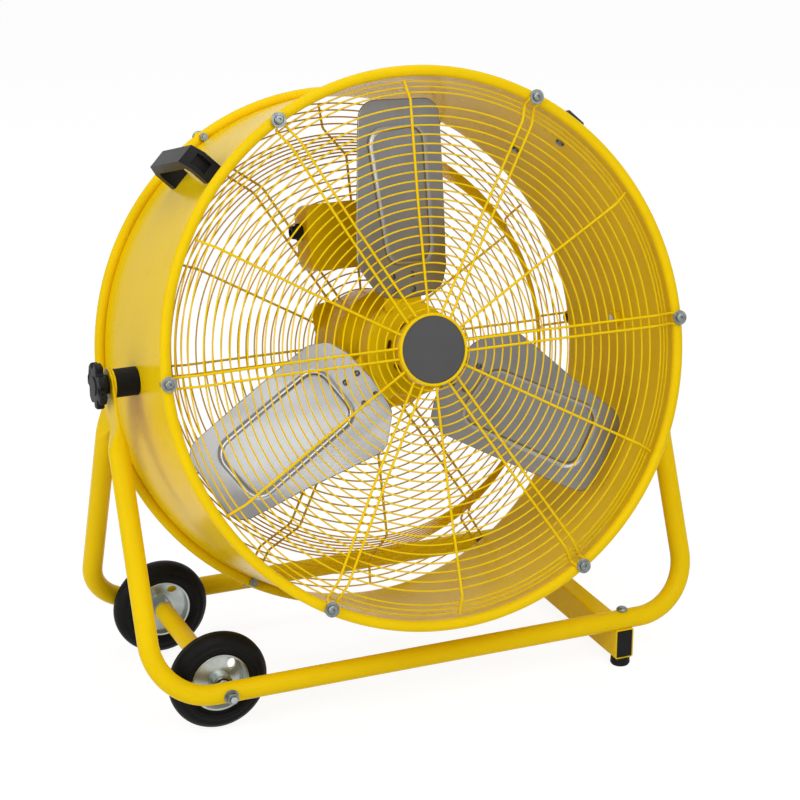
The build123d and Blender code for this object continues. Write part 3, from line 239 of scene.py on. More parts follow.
class Form:
    """Gathers closed surfaces and makes one mesh of them, with every face pointing out."""

    def __init__(self):
        self.points, self.quads, self.caps, self.grain, self.count = [], [], [], [], 0

    def grid(self, points, wrap=False, grain=None):
        """A surface on a grid that closes round its columns; its rows close too or end in flat faces."""
        rows, columns = points.shape[:2]
        index = np.arange(rows * columns).reshape(rows, columns)
        ends = [] if wrap else [index[0], index[-1][::-1]]
        index = np.concatenate([index, index[:, :1]], 1)
        if wrap:
            index = np.concatenate([index, index[:1]], 0)
        quads = np.stack([index[:-1, :-1], index[1:, :-1], index[1:, 1:], index[:-1, 1:]], -1)
        quads = quads.reshape(-1, 4)
        flat = points.reshape(-1, 3)
        if self.volume(flat - flat.mean(0), quads, ends) < 0:
            quads = quads[:, ::-1]
            ends = [end[::-1] for end in ends]
        self.points.append(flat)
        self.quads.append(quads + self.count)
        self.caps += [end + self.count for end in ends]
        self.count += len(flat)
        if grain is not None:
            self.grain.append(grain.reshape(-1, 3))
        return self

    @staticmethod
    def volume(points, quads, ends):
        """Signed volume of the tetrahedra from the origin to each triangle."""
        def fan(a, b, c):
            return np.einsum("ij,ij->i", a, np.cross(b, c)).sum()
        a, b, c, d = (points[quads[:, k]] for k in range(4))
        total = fan(a, b, c) + fan(a, c, d)
        for end in ends:
            first = np.repeat(points[end[:1]], len(end) - 2, 0)
            total += fan(first, points[end[1:-1]], points[end[2:]])
        return total

    def turned(self, profile, put, segments, solid=False):
        """A profile of (radius, ahead) pairs carried round an axis, closed or with flat ends."""
        angle = 2 * pi * np.arange(segments) / segments
        radius, ahead = profile[:, :1], profile[:, 1:]
        return self.grid(put(radius * np.cos(angle), radius * np.sin(angle), ahead), wrap=not solid)

    def pipe(self, route, across, radius, sides=10):
        """A round section carried along a flat route; across is square to the route's plane."""
        ahead = np.roll(route, -1, 0) - np.roll(route, 1, 0)
        ahead[0], ahead[-1] = route[1] - route[0], route[-1] - route[-2]
        ahead /= np.linalg.norm(ahead, axis=1)[:, None]
        across = np.broadcast_to(across, route.shape)
        other = np.cross(ahead, across)
        angle = (2 * pi * np.arange(sides) / sides)[:, None]
        ring = (other[:, None] * np.cos(angle) + across[:, None] * np.sin(angle)) * radius
        return self.grid(route[:, None] + ring)

    def slab(self, outline, low, high, put, edge_low, edge_high, steps=4):
        """An outline raised from low to high; its edges are quarter rounds drawn in along its normals."""
        turn = np.linspace(0, pi / 2, steps + 1)
        inset = np.concatenate([edge_low * (1 - np.sin(turn)), edge_high * (1 - np.cos(turn))])
        height = np.concatenate([low + edge_low * (1 - np.cos(turn)), high - edge_high * (1 - np.sin(turn))])
        flat = outline + inward(outline) * inset[:, None, None]
        return self.grid(put(flat[..., 0], flat[..., 1], height[:, None]))

    def make(self, name, body, node, slot, finish=None, sharp=35, merge=False):
        """The finished object: smooth up to the sharp angle, and handed over."""
        mesh = bpy.data.meshes.new(name)
        points = np.concatenate(self.points)
        quads = np.concatenate(self.quads)
        loops = np.concatenate([quads.ravel(), *self.caps])
        lengths = np.concatenate([np.full(len(quads), 4), np.array([len(c) for c in self.caps], int)])
        starts = np.concatenate([[0], np.cumsum(lengths)[:-1]])
        mesh.vertices.add(len(points))
        mesh.vertices.foreach_set("co", points.astype(np.float32).ravel())
        mesh.loops.add(len(loops))
        mesh.loops.foreach_set("vertex_index", loops.astype(np.int32))
        mesh.polygons.add(len(starts))
        mesh.polygons.foreach_set("loop_start", starts.astype(np.int32))
        mesh.polygons.foreach_set("use_smooth", np.ones(len(starts), bool))
        mesh.update(calc_edges=True)
        mesh.validate()
        if self.grain:
            layer = mesh.attributes.new("grain", "FLOAT_VECTOR", "POINT")
            layer.data.foreach_set("vector", np.concatenate(self.grain).astype(np.float32).ravel())
        if merge:
            build = bmesh.new()
            build.from_mesh(mesh)
            bmesh.ops.remove_doubles(build, verts=build.verts, dist=1e-6)
            bmesh.ops.dissolve_degenerate(build, edges=build.edges, dist=1e-7)
            build.to_mesh(mesh)
            build.free()
        mesh.set_sharp_from_angle(angle=radians(sharp))
        return handed_over(bpy.data.objects.new(name, mesh), body, node, slot, finish)


def handed_over(made, body, node, slot, finish=None):
    """Links an object, gives it its slot's finish or another and its body, and hides the node it stands for.
    """
    bpy.context.scene.collection.objects.link(made)
    made.data.materials.clear()
    made.data.materials.append(finishes()[finish or slot])
    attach(made, body)
    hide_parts(node)
    return made


def softened(node, name, body, slot, width, finish=None):
    """A merged copy of a CAD node with small round edges, for a shape with pockets or slots."""
    copy = NODES[node].copy()
    copy.data = NODES[node].data.copy()
    copy.name = name
    for key in [k for k in copy.keys() if k.startswith("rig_")]:
        del copy[key]
    copy.parent = None
    build = bmesh.new()
    build.from_mesh(copy.data)
    bmesh.ops.remove_doubles(build, verts=build.verts, dist=1e-6)
    bmesh.ops.dissolve_limit(build, angle_limit=radians(1), verts=build.verts, edges=build.edges)
    build.to_mesh(copy.data)
    build.free()
    bevel = copy.modifiers.new("edges", "BEVEL")
    bevel.width = width
    bevel.segments = 3
    bevel.limit_method = "ANGLE"
    bevel.angle_limit = radians(30)
    bevel.use_clamp_overlap = True
    for polygon in copy.data.polygons:
        polygon.use_smooth = True
    copy.data.set_sharp_from_angle(angle=radians(35))
    return handed_over(copy, body, node, slot, finish)


# ---------------------------------------------------------------- shaders
class Value:
    """A shader socket that arithmetic can be written on; each operation adds a Math node."""

    def __init__(self, nodes, socket):
        self.nodes, self.socket = nodes, socket

    def math(self, operation, *terms):
        return self.nodes.node("ShaderNodeMath", {"operation": operation}, dict(enumerate(terms)))

    def __add__(self, other):
        return self.math("ADD", self, other)

    def __mul__(self, other):
        return self.math("MULTIPLY", self, other)

    def __sub__(self, other):
        return self.math("SUBTRACT", self, other)

    def __rsub__(self, other):
        return self.math("SUBTRACT", other, self)

    __radd__ = __add__
    __rmul__ = __mul__

    def at_most_one(self):
        return self.math("MINIMUM", self, 1.0)


class Nodes:
    """A node tree; node() adds any node from its settings and socket values."""

    def __init__(self, tree, output):
        self.tree = tree
        tree.nodes.clear()
        self.output = tree.nodes.new(output)

    def node(self, kind, settings, inputs, output=0):
        made = self.tree.nodes.new(kind)
        for key, value in settings.items():
            setattr(made, key, value)
        for key, value in inputs.items():
            if isinstance(value, Value):
                self.tree.links.new(value.socket, made.inputs[key])
            elif made.inputs[key].type == "RGBA":
                made.inputs[key].default_value = (*value, 1)
            else:
                made.inputs[key].default_value = value
        return Value(self, made.outputs[output])

    def place(self, scale=(1, 1, 1), attribute=None):
        """Object coordinates, or an attribute's, stretched by a scale."""
        if attribute:
            source = self.node("ShaderNodeAttribute", {"attribute_name": attribute}, {}, "Vector")
        else:
            source = self.node("ShaderNodeTexCoord", {}, {}, "Object")
        return self.node("ShaderNodeMapping", {"vector_type": "POINT"}, {"Vector": source, "Scale": scale})

    def noise(self, place, scale, detail=3.0, roughness=0.5):
        return self.node("ShaderNodeTexNoise", {"noise_dimensions": "3D"},
                         {"Vector": place, "Scale": scale, "Detail": detail, "Roughness": roughness})

    def mix(self, share, first, second):
        """Blends two colours by a share from 0 to 1; sockets 6, 7 and 2 are the node's colour ones."""
        return self.node("ShaderNodeMix", {"data_type": "RGBA"}, {0: share, 6: first, 7: second}, 2)

    def span(self, value, low, high):
        """Stretches a value so that low becomes 0 and high becomes 1, held to that range."""
        return self.node("ShaderNodeMapRange", {"clamp": True},
                         {"Value": value, "From Min": low, "From Max": high, "To Min": 0.0, "To Max": 1.0})

    def bump(self, height, strength, distance, **under):
        return self.node("ShaderNodeBump", {},
                         {"Strength": strength, "Distance": distance, "Height": height, **under})

    def seen(self):
        """1 for rays straight from the camera and for those off gloss or through glass."""
        camera, gloss, glass = (self.node("ShaderNodeLightPath", {}, {}, ray)
                                for ray in ("Is Camera Ray", "Is Glossy Ray", "Is Transmission Ray"))
        return (camera + gloss + glass).at_most_one()

    def show(self, surface):
        self.tree.links.new(surface.socket, self.output.inputs["Surface"])


class Shader(Nodes):
    """A node material."""

    def __init__(self, name):
        self.material = bpy.data.materials.new(name)
        self.material.use_nodes = True
        super().__init__(self.material.node_tree, "ShaderNodeOutputMaterial")

    def finish(self, inputs):
        self.show(self.node("ShaderNodeBsdfPrincipled", {}, inputs))
        return self.material


def scaled(tint, factor):
    """A tint times a factor, each channel at most 1."""
    return tuple(min(1.0, channel * factor) for channel in tint)


def powder_coat(name, tint):
    """Gloss powder coat: faint cloudiness, orange peel and a few duller, dusty patches."""
    s = Shader(name)
    at = s.place()
    cloud = s.noise(at, 7.0, 4.0)
    dust = s.span(s.noise(at, 38.0, 5.0, 0.62), 0.52, 0.72)
    base = s.mix(s.span(cloud, 0.3, 0.7), scaled(tint, 0.94), scaled(tint, 1.03))
    base = s.mix(dust * 0.08, base, (0.52, 0.33, 0.015))
    peel = s.noise(at, 620.0, 2.0)
    wave = s.noise(at, 90.0, 2.0)
    return s.finish({"Base Color": base, "Roughness": 0.17 + cloud * 0.12 + dust * 0.08, "IOR": 1.10,
                     "Normal": s.bump(peel + wave * 1.2, 0.06, 0.0004)})


def plated(name, tint):
    """Bright zinc: a fine grain, and cloudy patches that differ in roughness."""
    s = Shader(name)
    at = s.place()
    cloud = s.noise(at, 55.0, 4.0)
    fine = s.noise(at, 900.0, 2.0)
    base = s.mix(s.span(cloud, 0.35, 0.65), scaled(tint, 0.82), scaled(tint, 1.12))
    return s.finish({"Base Color": base, "Metallic": 1.0, "Roughness": 0.24 + cloud * 0.18,
                     "Normal": s.bump(fine, 0.12, 0.0003)})


def dull_zinc(name, tint):
    """Zinc plate that has gone dull: rough, with darker stains and a few brown specks."""
    s = Shader(name)
    at = s.place()
    stain = s.noise(at, 160.0, 5.0, 0.6)
    specks = s.span(s.noise(at, 700.0, 3.0, 0.7), 0.60, 0.72)
    base = s.mix(s.span(stain, 0.35, 0.65), scaled(tint, 0.70), scaled(tint, 1.20))
    base = s.mix(specks * 0.5, base, (0.06, 0.045, 0.03))
    return s.finish({"Base Color": base, "Metallic": 0.95, "Roughness": 0.26 + stain * 0.2,
                     "Normal": s.bump(stain, 0.15, 0.0003)})


def blade_sheet(name, tint):
    """Mill-finish aluminium: rolling lines along the blade, broad waves, and a painted highlight along the
    pressed groove, where the sheet is also a little smoother.
    """
    s = Shader(name)
    broad = s.place((1.0, 1.0, 0.0), "grain")
    lines = s.noise(s.place((6.0, 260.0, 0.0), "grain"), 1.0, 4.0, 0.6)
    stain = s.noise(broad, 16.0, 3.0, 0.5)
    marks = s.span(s.noise(broad, 120.0, 3.0, 0.7), 0.64, 0.76)
    base = s.mix(s.span(stain, 0.3, 0.7), scaled(tint, 0.90), scaled(tint, 1.08))
    base = s.mix(s.span(lines, 0.35, 0.65) * 0.25, base, scaled(tint, 1.12))
    base = s.mix(marks * 0.12, base, scaled(tint, 0.6))
    to_ridge = s.node("ShaderNodeSeparateXYZ", {}, {"Vector": s.place((1, 1, 1), "grain")}, "Z")
    # Painted highlight: the colour is made much lighter near the groove's line, standing in for light caught
    # on its flanks; the same share lowers the roughness there.
    painted_groove_highlight = 1.0 - s.span(to_ridge, 0.0, 0.0024)
    base = s.mix(painted_groove_highlight * 0.6, base, scaled(tint, 1.9))
    waves = s.bump(s.noise(broad, 9.0, 1.0), 0.40, 0.012)
    return s.finish({"Base Color": base, "Metallic": 0.95,
                     "Roughness": 0.24 + lines * 0.06 + stain * 0.10 - painted_groove_highlight * 0.08,
                     "Normal": s.bump(lines, 0.04, 0.0003, Normal=waves)})


def moulded(name, tint, roughness=0.42, grain=0.16):
    """Moulded plastic or rubber: a fine spark-eroded grain, lighter in soft patches."""
    s = Shader(name)
    at = s.place()
    cloud = s.noise(at, 30.0, 4.0)
    base = s.mix(s.span(cloud, 0.35, 0.75), tint, tuple(c * 1.5 + 0.004 for c in tint))
    return s.finish({"Base Color": base, "Roughness": roughness + (cloud - 0.5) * 0.16, "IOR": 1.18,
                     "Normal": s.bump(s.noise(at, 1500.0, 2.0), grain, 0.0004)})


def tyre_rubber(name, tint):
    """Solid tyre: matte, with a fine grit and grey dust in patches."""
    s = Shader(name)
    at = s.place()
    dust = s.span(s.noise(at, 45.0, 5.0, 0.65), 0.48, 0.75)
    base = s.mix(dust * 0.12, tint, (0.05, 0.05, 0.048))
    return s.finish({"Base Color": base, "Roughness": 0.44 + dust * 0.22, "IOR": 1.17,
                     "Normal": s.bump(s.noise(at, 800.0, 3.0), 0.2, 0.0005)})


def satin_paint(name, tint):
    """Satin paint: even, with a very fine texture."""
    s = Shader(name)
    at = s.place()
    cloud = s.noise(at, 20.0, 3.0)
    base = s.mix(s.span(cloud, 0.3, 0.7), scaled(tint, 0.94), scaled(tint, 1.06))
    return s.finish({"Base Color": base, "Roughness": 0.45 + (cloud - 0.5) * 0.1, "IOR": 1.3,
                     "Normal": s.bump(s.noise(at, 700.0, 3.0), 0.08, 0.0003)})


def laminated(name, tint):
    """Stacked sheets: fine lines along them."""
    s = Shader(name)
    lines = s.noise(s.place((1, 700, 700)), 1.0, 2.0)
    base = s.mix(lines, scaled(tint, 0.6), scaled(tint, 1.3))
    return s.finish({"Base Color": base, "Metallic": 0.8, "Roughness": 0.4 + lines * 0.2})


def wound_copper(name, tint):
    """Varnished turns of wire."""
    s = Shader(name)
    turns = s.noise(s.place((400, 400, 400)), 1.0, 2.0)
    base = s.mix(turns, scaled(tint, 0.5), scaled(tint, 1.2))
    return s.finish({"Base Color": base, "Metallic": 0.6, "Roughness": 0.35 + turns * 0.2,
                     "Normal": s.bump(turns, 0.4, 0.0006)})


def finishes():
    """The materials by slot, each made once from its name, function, tint and further settings."""
    c = bpy.context.scene.drum_fan_colours
    table = {
        "yellow_paint": ("gloss yellow powder coat", powder_coat, c.yellow),
        "grey_disc_paint": ("satin grey disc", satin_paint, c.grey),
        "bright_zinc": ("bright zinc plate", plated, c.zinc),
        "dull_zinc": ("dull zinc plate", dull_zinc, scaled(c.zinc, 0.50)),
        "plain_steel": ("dark steel", dull_zinc, (0.13, 0.127, 0.12)),
        "satin_aluminium": ("rolled aluminium sheet", blade_sheet, c.aluminium),
        "black_plastic": ("black moulded plastic", moulded, c.black),
        "black_rubber": ("black rubber", moulded, c.rubber, 0.55, 0.2),
        "wheel_tyre": ("solid tyre", tyre_rubber, c.rubber),
        "lamination_steel": ("laminated steel", laminated, (0.2, 0.2, 0.21)),
        "winding_copper": ("varnished copper", wound_copper, (0.72, 0.3, 0.12)),
        "capacitor_plastic": ("white capacitor plastic", moulded, (0.7, 0.7, 0.68), 0.4, 0.1),
    }
    return {slot: bpy.data.materials.get(name) or make(name, tuple(tint), *more)
            for slot, (name, make, tint, *more) in table.items()}


# ---------------------------------------------------------------- drum and guards
class DRUMFAN_OT_shell(Operator):
    """The drum: a rolled sheet whose edges are curled outwards into round beads"""
    bl_idname = "drum_fan.shell"
    bl_label = "Drum Shell"
    bl_options = {"REGISTER", "UNDO"}

    def execute(self, context):
        d = context.scene.drum_fan_shell
        outer, middle = d.inner + d.wall, d.inner + d.bead
        crease = np.arctan2(-np.sqrt(d.bead ** 2 - (middle - outer) ** 2), outer - middle)
        turn = np.linspace(pi, crease, 40)
        curl = np.stack([middle + d.bead * np.cos(turn), d.half + d.bead * np.sin(turn)], 1)
        back = (curl * (1, -1))[::-1]

        def wall(radius, reach):
            """Places along the drum at one radius, between its two curls."""
            return np.stack([np.full(24, radius), np.linspace(-reach, reach, 26)[1:-1]], 1)

        profile = np.concatenate([wall(d.inner, d.half), curl, wall(outer, -curl[-1, 1]), back])
        Form().turned(profile, on_fan, 288).make("drum_shell_sheet", "drum", "drum_shell", "yellow_paint")
        return {"FINISHED"}


# The outer ends of a guard's wires lie this far off the bead.
SEAT_GAP = 0.0001


class DRUMFAN_OT_front_guard(Operator):
    """The front guard: rings welded behind the spokes, which dip into the drum's mouth"""
    bl_idname = "drum_fan.front_guard"
    bl_label = "Front Guard"
    bl_options = {"REGISTER", "UNDO"}

    def execute(self, context):
        d, g = context.scene.drum_fan_shell, context.scene.drum_fan_guard
        seat = d.half + d.bead + g.spoke / 2 + SEAT_GAP
        line = [(0.0431, 0.1405), (0.170, 0.1436), (0.291, 0.153), (0.3145, 0.1392)]
        runs = [(0.0049, 0, g.pitch), (g.pitch / 2, g.ring, g.pitch), (g.pitch, 0, g.rim_pitch)]
        guard(line, [(0.318, seat), (d.inner + d.bead, seat)], 0.003, runs).make(
            "front_guard_wires", "drum", "front_guard", "yellow_paint", sharp=60)
        return {"FINISHED"}


class DRUMFAN_OT_rear_guard(Operator):
    """The rear guard: dished inwards so that the motor sits on its flat middle"""
    bl_idname = "drum_fan.rear_guard"
    bl_label = "Rear Guard"
    bl_options = {"REGISTER", "UNDO"}

    def execute(self, context):
        d, g = context.scene.drum_fan_shell, context.scene.drum_fan_guard
        seat = -(d.half + d.bead + g.spoke / 2 + SEAT_GAP)
        line = [(0.059, -0.070), (0.240, -0.070), (0.279, -0.143), (0.311, seat)]
        bend = 0.0054
        runs = [(0.003, bend, g.pitch), (bend, bend, g.cone_pitch), (bend, 0, g.cone_pitch)]
        guard(line, [(d.inner + d.bead, seat)], 0.009, runs).make(
            "rear_guard_wires", "drum", "rear_guard", "yellow_paint", sharp=60)
        return {"FINISHED"}


def guard(line, tail, bend, runs):
    """A guard of (radius, ahead) corners: single spokes along line, paired ones along line and tail.

    The rings lie behind each stretch of line; its run says how far from the stretch's start and end
    they keep, and their pitch."""
    g = bpy.context.scene.drum_fan_guard
    lift = (g.ring + g.spoke) / 2
    middles = [ring_middles(*ends, *run, lift) for ends, run in zip(zip(line, line[1:]), runs)]
    form = Form()
    add_rings(form, np.concatenate(middles), g.ring / 2)
    add_spokes(form, g, rounded(line + tail, bend), rounded(line, bend), *tail[-1])
    return form


def ring_middles(start, end, first, last, pitch, lift):
    """Middles of the rings along a straight run, set back from it by the lift."""
    start, end = np.array(start), np.array(end)
    length = np.hypot(*(end - start))
    along = (end - start) / length
    count = int((length - first - last) / pitch + 1e-6) + 1
    distance = first + pitch * np.arange(count)
    return start + along * distance[:, None] + lift * np.array([along[1], -along[0]])


def add_rings(form, middles, radius, around=216, sides=8):
    """Each ring is a circle of the wire's radius carried round the fan's axis."""
    turn = (2 * pi * np.arange(around) / around)[:, None]
    angle = 2 * pi * np.arange(sides) / sides
    for r, ahead in middles:
        reach, along = r + radius * np.cos(angle), ahead + radius * np.sin(angle)
        form.grid(on_fan(reach * np.cos(turn), reach * np.sin(turn), along), wrap=True)


def add_spokes(form, g, long_line, short_line, bolt, seat):
    """Pairs joined by a half loop round each bolt, and a single spoke between two pairs.

    A spoke is its line in the plane of its angle, shifted sideways by half the pair's gap."""
    ahead = on_fan(0, 0, 1) - on_fan(0, 0, 0)
    for k in range(g.pairs):
        for angle, line, shifts in ((2 * pi * k / g.pairs, long_line, (g.pair, -g.pair)),
                                    (2 * pi * (k + 0.5) / g.pairs, short_line, (0.0,))):
            out, side = np.array([cos(angle), sin(angle)]), np.array([-sin(angle), cos(angle)])
            across = on_fan(side[0], side[1], 0) - on_fan(0, 0, 0)
            for shift in shifts:
                flat = line[:, :1] * out + shift * side
                form.pipe(on_fan(flat[:, 0], flat[:, 1], line[:, 1]), across, g.spoke / 2)
            if len(shifts) == 2:
                turn = np.linspace(-pi / 2, pi / 2, 17)[:, None]
                loop = bolt * out + g.pair * (np.cos(turn) * out + np.sin(turn) * side)
                form.pipe(on_fan(loop[:, 0], loop[:, 1], seat), ahead, g.spoke / 2)


class DRUMFAN_OT_centre(Operator):
    """The guard's centre: a yellow cup with a round rim, and the bare grey disc in it"""
    bl_idname = "drum_fan.centre"
    bl_label = "Guard Centre"
    bl_options = {"REGISTER", "UNDO"}

    def execute(self, context):
        front, outer, deep, roll = 0.1465, 0.043, 0.015, 0.0017
        inner = outer - 0.002
        turn = np.linspace(0, pi + 0.45, 24)
        rim = np.stack([outer - roll + roll * np.cos(turn), front - roll + roll * np.sin(turn)], 1)
        foot = [(inner, front - deep), (outer, front - deep)]
        cup = np.concatenate([foot, rim, [(inner, front - 2 * roll)]])
        Form().turned(cup, on_fan, 144).make(
            "guard_centre_cup_roll", "drum", "guard_centre_cup", "yellow_paint", merge=True)
        low, reach = front - 0.0035, outer - 2 * roll
        high = low + 0.0015
        disc = shaped((AXIS, low, 0), (reach, low, 0.0002), (reach, high, 0.0006), (AXIS, high, 0),
                      closed=False)
        Form().turned(disc, on_fan, 96, solid=True).make(
            "guard_centre_disc_face", "drum", "guard_centre_disc", "grey_disc_paint", merge=True)
        return {"FINISHED"}


# ---------------------------------------------------------------- blades
# Corners of a blade's outline and of its pressed groove: out from the fan's axis, across the
# blade and the corner's radius, in millimetres.
BLADE_CORNERS = [(60.0, -2.0, 30), (61.0, -44.0, 14), (70.0, -70.0, 14), (94.0, -82.0, 18),
                 (295.0, -73.0, 22), (299.0, 34.0, 26), (206.0, 52.0, 90), (106.0, 77.0, 22),
                 (66.0, 44.0, 30)]
RIDGE_CORNERS = [(100.0, -56.0, 20), (266.0, -50.0, 20), (262.0, 28.0, 20), (104.0, 22.0, 20)]
BLADE_MIDDLE = (0.180, -0.012)
# The grain of one blade is shifted by this from the next one's.
GRAIN_SHIFT = 0.7
# Places of the rivets, out from the axis and across the blade, and how far they reach behind it.
RIVETS_OUT = (0.070, 0.088)
RIVETS_ACROSS = (-0.017, 0.017)
RIVET_GRIP = 0.00402


def blade_pitch(out):
    """The blade's pitch in radians: steady at the root, easing off towards the tip."""
    return np.radians(np.interp(out, [0.104, 0.190, 0.299], [26.0, 17.0, 5.0]))


def line_distance(points, line):
    """The least distance from each point to a closed line of short runs."""
    run = np.roll(line, -1, 0) - line
    offset = points[:, None] - line[None]
    share = np.clip((offset * run).sum(-1) / (run ** 2).sum(-1), 0, 1)
    return np.linalg.norm(offset - share[..., None] * run, axis=-1).min(1)


def on_blade(number, out, across):
    """Points about a place on a blade: x further out, y along its chord, raised from its sheet."""
    b = bpy.context.scene.drum_fan_blades
    turn = 2 * pi * number / b.count

    def put(x, y, raised):
        far, chord = out + x, across + y
        pitch = blade_pitch(far)
        around = chord * np.cos(pitch) - raised * np.sin(pitch)
        ahead = b.middle + chord * np.sin(pitch) + raised * np.cos(pitch)
        return on_fan(-around * cos(turn) - far * sin(turn), far * cos(turn) - around * sin(turn), ahead)

    return put


def blade_skin(b):
    """A blade's skin before its twist: places out, across and raised, and distances to the groove.

    The front and back faces are the outline drawn in towards a middle point, and a half round joins
    them. Both faces sink at the groove by half a cosine wave of the distance to the groove's line."""
    outline = shaped(*np.array(BLADE_CORNERS) / 1000, run_step=0.0025)
    groove = shaped(*np.array(RIDGE_CORNERS) / 1000, run_step=0.006)
    half = b.sheet / 2
    middle, drawn = np.array(BLADE_MIDDLE), inward(outline) * half * 0.8
    shares = np.concatenate([[0.004], np.linspace(0.015, 1, 128)])
    face = middle + (outline + drawn - middle) * shares[:, None, None]
    turn = np.linspace(0, pi, 7)[1:-1]
    edge = outline + drawn * (1 - np.sin(turn))[:, None, None]
    flat = np.concatenate([face, edge, face[::-1]])
    level = np.concatenate([np.full(len(shares), half), half * np.cos(turn), np.full(len(shares), -half)])
    distance = line_distance(face.reshape(-1, 2), groove).reshape(face.shape[:2])
    distance = np.concatenate([distance, np.repeat(distance[-1:], len(turn), 0), distance[::-1]])
    sunk = b.ridge * (0.5 + 0.5 * np.cos(pi * np.clip(distance / b.ridge_width, 0, 1)))
    return flat[..., 0], flat[..., 1], level[:, None] - sunk, distance


class DRUMFAN_OT_blades(Operator):
    """Three pressed blades: twisted sheet with round corners and a pressed groove"""
    bl_idname = "drum_fan.blades"
    bl_label = "Blades"
    bl_options = {"REGISTER", "UNDO"}

    def execute(self, context):
        b = context.scene.drum_fan_blades
        out, across, raised, distance = blade_skin(b)
        for k in range(b.count):
            grain = np.stack([out + k * GRAIN_SHIFT, across, distance], -1)
            Form().grid(on_blade(k, 0, 0)(out, across, raised), grain=grain).make(
                f"fan_blade_sheet_{k + 1}", "rotor", f"fan_blade_{k + 1}", "satin_aluminium")
        return {"FINISHED"}


class DRUMFAN_OT_rivets(Operator):
    """Hollow rivets that hold each blade to its arm: a round flange with a recess in it"""
    bl_idname = "drum_fan.rivets"
    bl_label = "Blade Rivets"
    bl_options = {"REGISTER", "UNDO"}

    def execute(self, context):
        b = context.scene.drum_fan_blades
        face = b.sheet / 2
        shape = np.array([
            (0.00315, -face - RIVET_GRIP), (0.00315, face - 0.0002), (0.0038, face + 0.0001),
            (0.0038, face + 0.0006), (0.0033, face + 0.0011), (0.0024, face + 0.0014),
            (0.0019, face + 0.0012), (0.0017, face + 0.0003), (AXIS, face + 0.0002)])
        form = Form()
        for k in range(b.count):
            for out in RIVETS_OUT:
                for across in RIVETS_ACROSS:
                    form.turned(shape, on_blade(k, out, across), 32, solid=True)
        form.make("blade_rivets_hollow", "rotor", "blade_rivets", "bright_zinc", "plain_steel")
        return {"FINISHED"}


# ---------------------------------------------------------------- motor, box and handles
class DRUMFAN_OT_motor(Operator):
    """The motor's painted can and its front bell, each a profile turned round the fan's axis"""
    bl_idname = "drum_fan.motor"
    bl_label = "Motor"
    bl_options = {"REGISTER", "UNDO"}

    def execute(self, context):
        back, front, inner, outer = -0.05748, 0.010, 0.0685, 0.072
        can = shaped((inner, back, 0), (outer, back, 0.0012), (outer, front, 0.0012), (inner, front, 0),
                     run_step=0.01)
        Form().turned(can, on_fan, 144).make("motor_can", "drum", "motor_housing", "yellow_paint")
        bell = shaped((0.009, 0.038, 0), (0.009, 0.042, 0), (0.054, 0.042, 0.008), (0.0718, 0.0104, 0.001),
                      (0.0645, front, 0), (0.052, 0.038, 0.004), run_step=0.008)
        Form().turned(bell, on_fan, 144).make(
            "motor_front_bell_cover", "drum", "motor_front_bell", "yellow_paint")
        return {"FINISHED"}


class DRUMFAN_OT_control_box(Operator):
    """The control box: a deep rounded tray with its cover towards the blades"""
    bl_idname = "drum_fan.control_box"
    bl_label = "Control Box"
    bl_options = {"REGISTER", "UNDO"}

    def execute(self, context):
        reach, angle = 0.062 + 8.5 * 0.0107, radians(105)
        x, up = reach * cos(angle), reach * sin(angle) - 0.005
        wide, tall, corner = 0.078 / 2, 0.082 / 2, 0.014
        outline = shaped((x - wide, up - tall, corner), (x + wide, up - tall, corner),
                         (x + wide, up + tall, corner), (x - wide, up + tall, corner))
        rear, split, front = -0.06848, -0.02448, -0.02248
        Form().slab(outline, rear, split, on_fan, 0.003, 0.0004).make(
            "control_box_tray", "drum", "control_box", "yellow_paint")
        Form().slab(outline, split + 0.0001, front, on_fan, 0.0003, 0.0014).make(
            "control_box_lid", "drum", "control_box_cover", "yellow_paint")
        return {"FINISHED"}


class DRUMFAN_OT_handles(Operator):
    """Two moulded strap handles with round edges and a screw pocket in each leg"""
    bl_idname = "drum_fan.handles"
    bl_label = "Handles"
    bl_options = {"REGISTER", "UNDO"}

    def execute(self, context):
        for side in ("left", "right"):
            softened(f"{side}_handle", f"{side}_handle_moulding", "drum", "black_plastic", 0.0016)
        return {"FINISHED"}


class DRUMFAN_OT_pivots(Operator):
    """Star knobs and the spacers between the drum and the stand's flattened ends"""
    bl_idname = "drum_fan.pivots"
    bl_label = "Knobs and Spacers"
    bl_options = {"REGISTER", "UNDO"}

    def execute(self, context):
        s = context.scene.drum_fan_stand
        bore = 0.0052
        shell, plate = 0.31955, s.half - s.flat / 2 - 0.0001
        spacer = shaped((bore, shell, 0), (0.017, shell, 0.001), (0.017, plate, 0.001), (bore, plate, 0))
        low = s.half + 1.5 * s.flat + 0.0001
        disc = low + 0.007
        high = disc + 0.002
        stem = shaped((bore, low, 0), (0.0115, low, 0.0006), (0.012, high, 0), (bore, high, 0))
        cap = shaped((AXIS, disc + 0.009, 0), (0.0125, disc + 0.009, 0), (0.0115, disc + 0.011, 0.001),
                     (AXIS, disc + 0.0108, 0), closed=False)
        for side, name in ((-1, "left"), (1, "right")):
            put = on_pivot(side)
            Form().turned(spacer, put, 72).make(
                f"{name}_spacer_sleeve", "drum", f"{name}_pivot_spacer", "black_rubber")
            knob = Form().slab(star_outline(), disc, disc + 0.0095, put, 0.0022, 0.0028, 6)
            knob.turned(stem, put, 56).turned(cap, put, 56, solid=True)
            knob.make(f"{name}_knob_star", f"{name}_knob", f"{name}_clamp_knob", "black_plastic")
        return {"FINISHED"}


def star_outline():
    """Seven lobes: the radius swings about its middle by a cosine squeezed flat by a tanh."""
    middle, swing, lobes, steep, shift = 0.0245, 0.0035, 7, 2.4, 0.45
    angle = np.radians(np.arange(0, 360, 1.5))
    wave = np.tanh(steep * (np.cos(lobes * angle) + shift)) / np.tanh(steep * (1 + shift))
    radius = middle + swing * wave
    return np.stack([radius * np.cos(angle), radius * np.sin(angle)], 1)


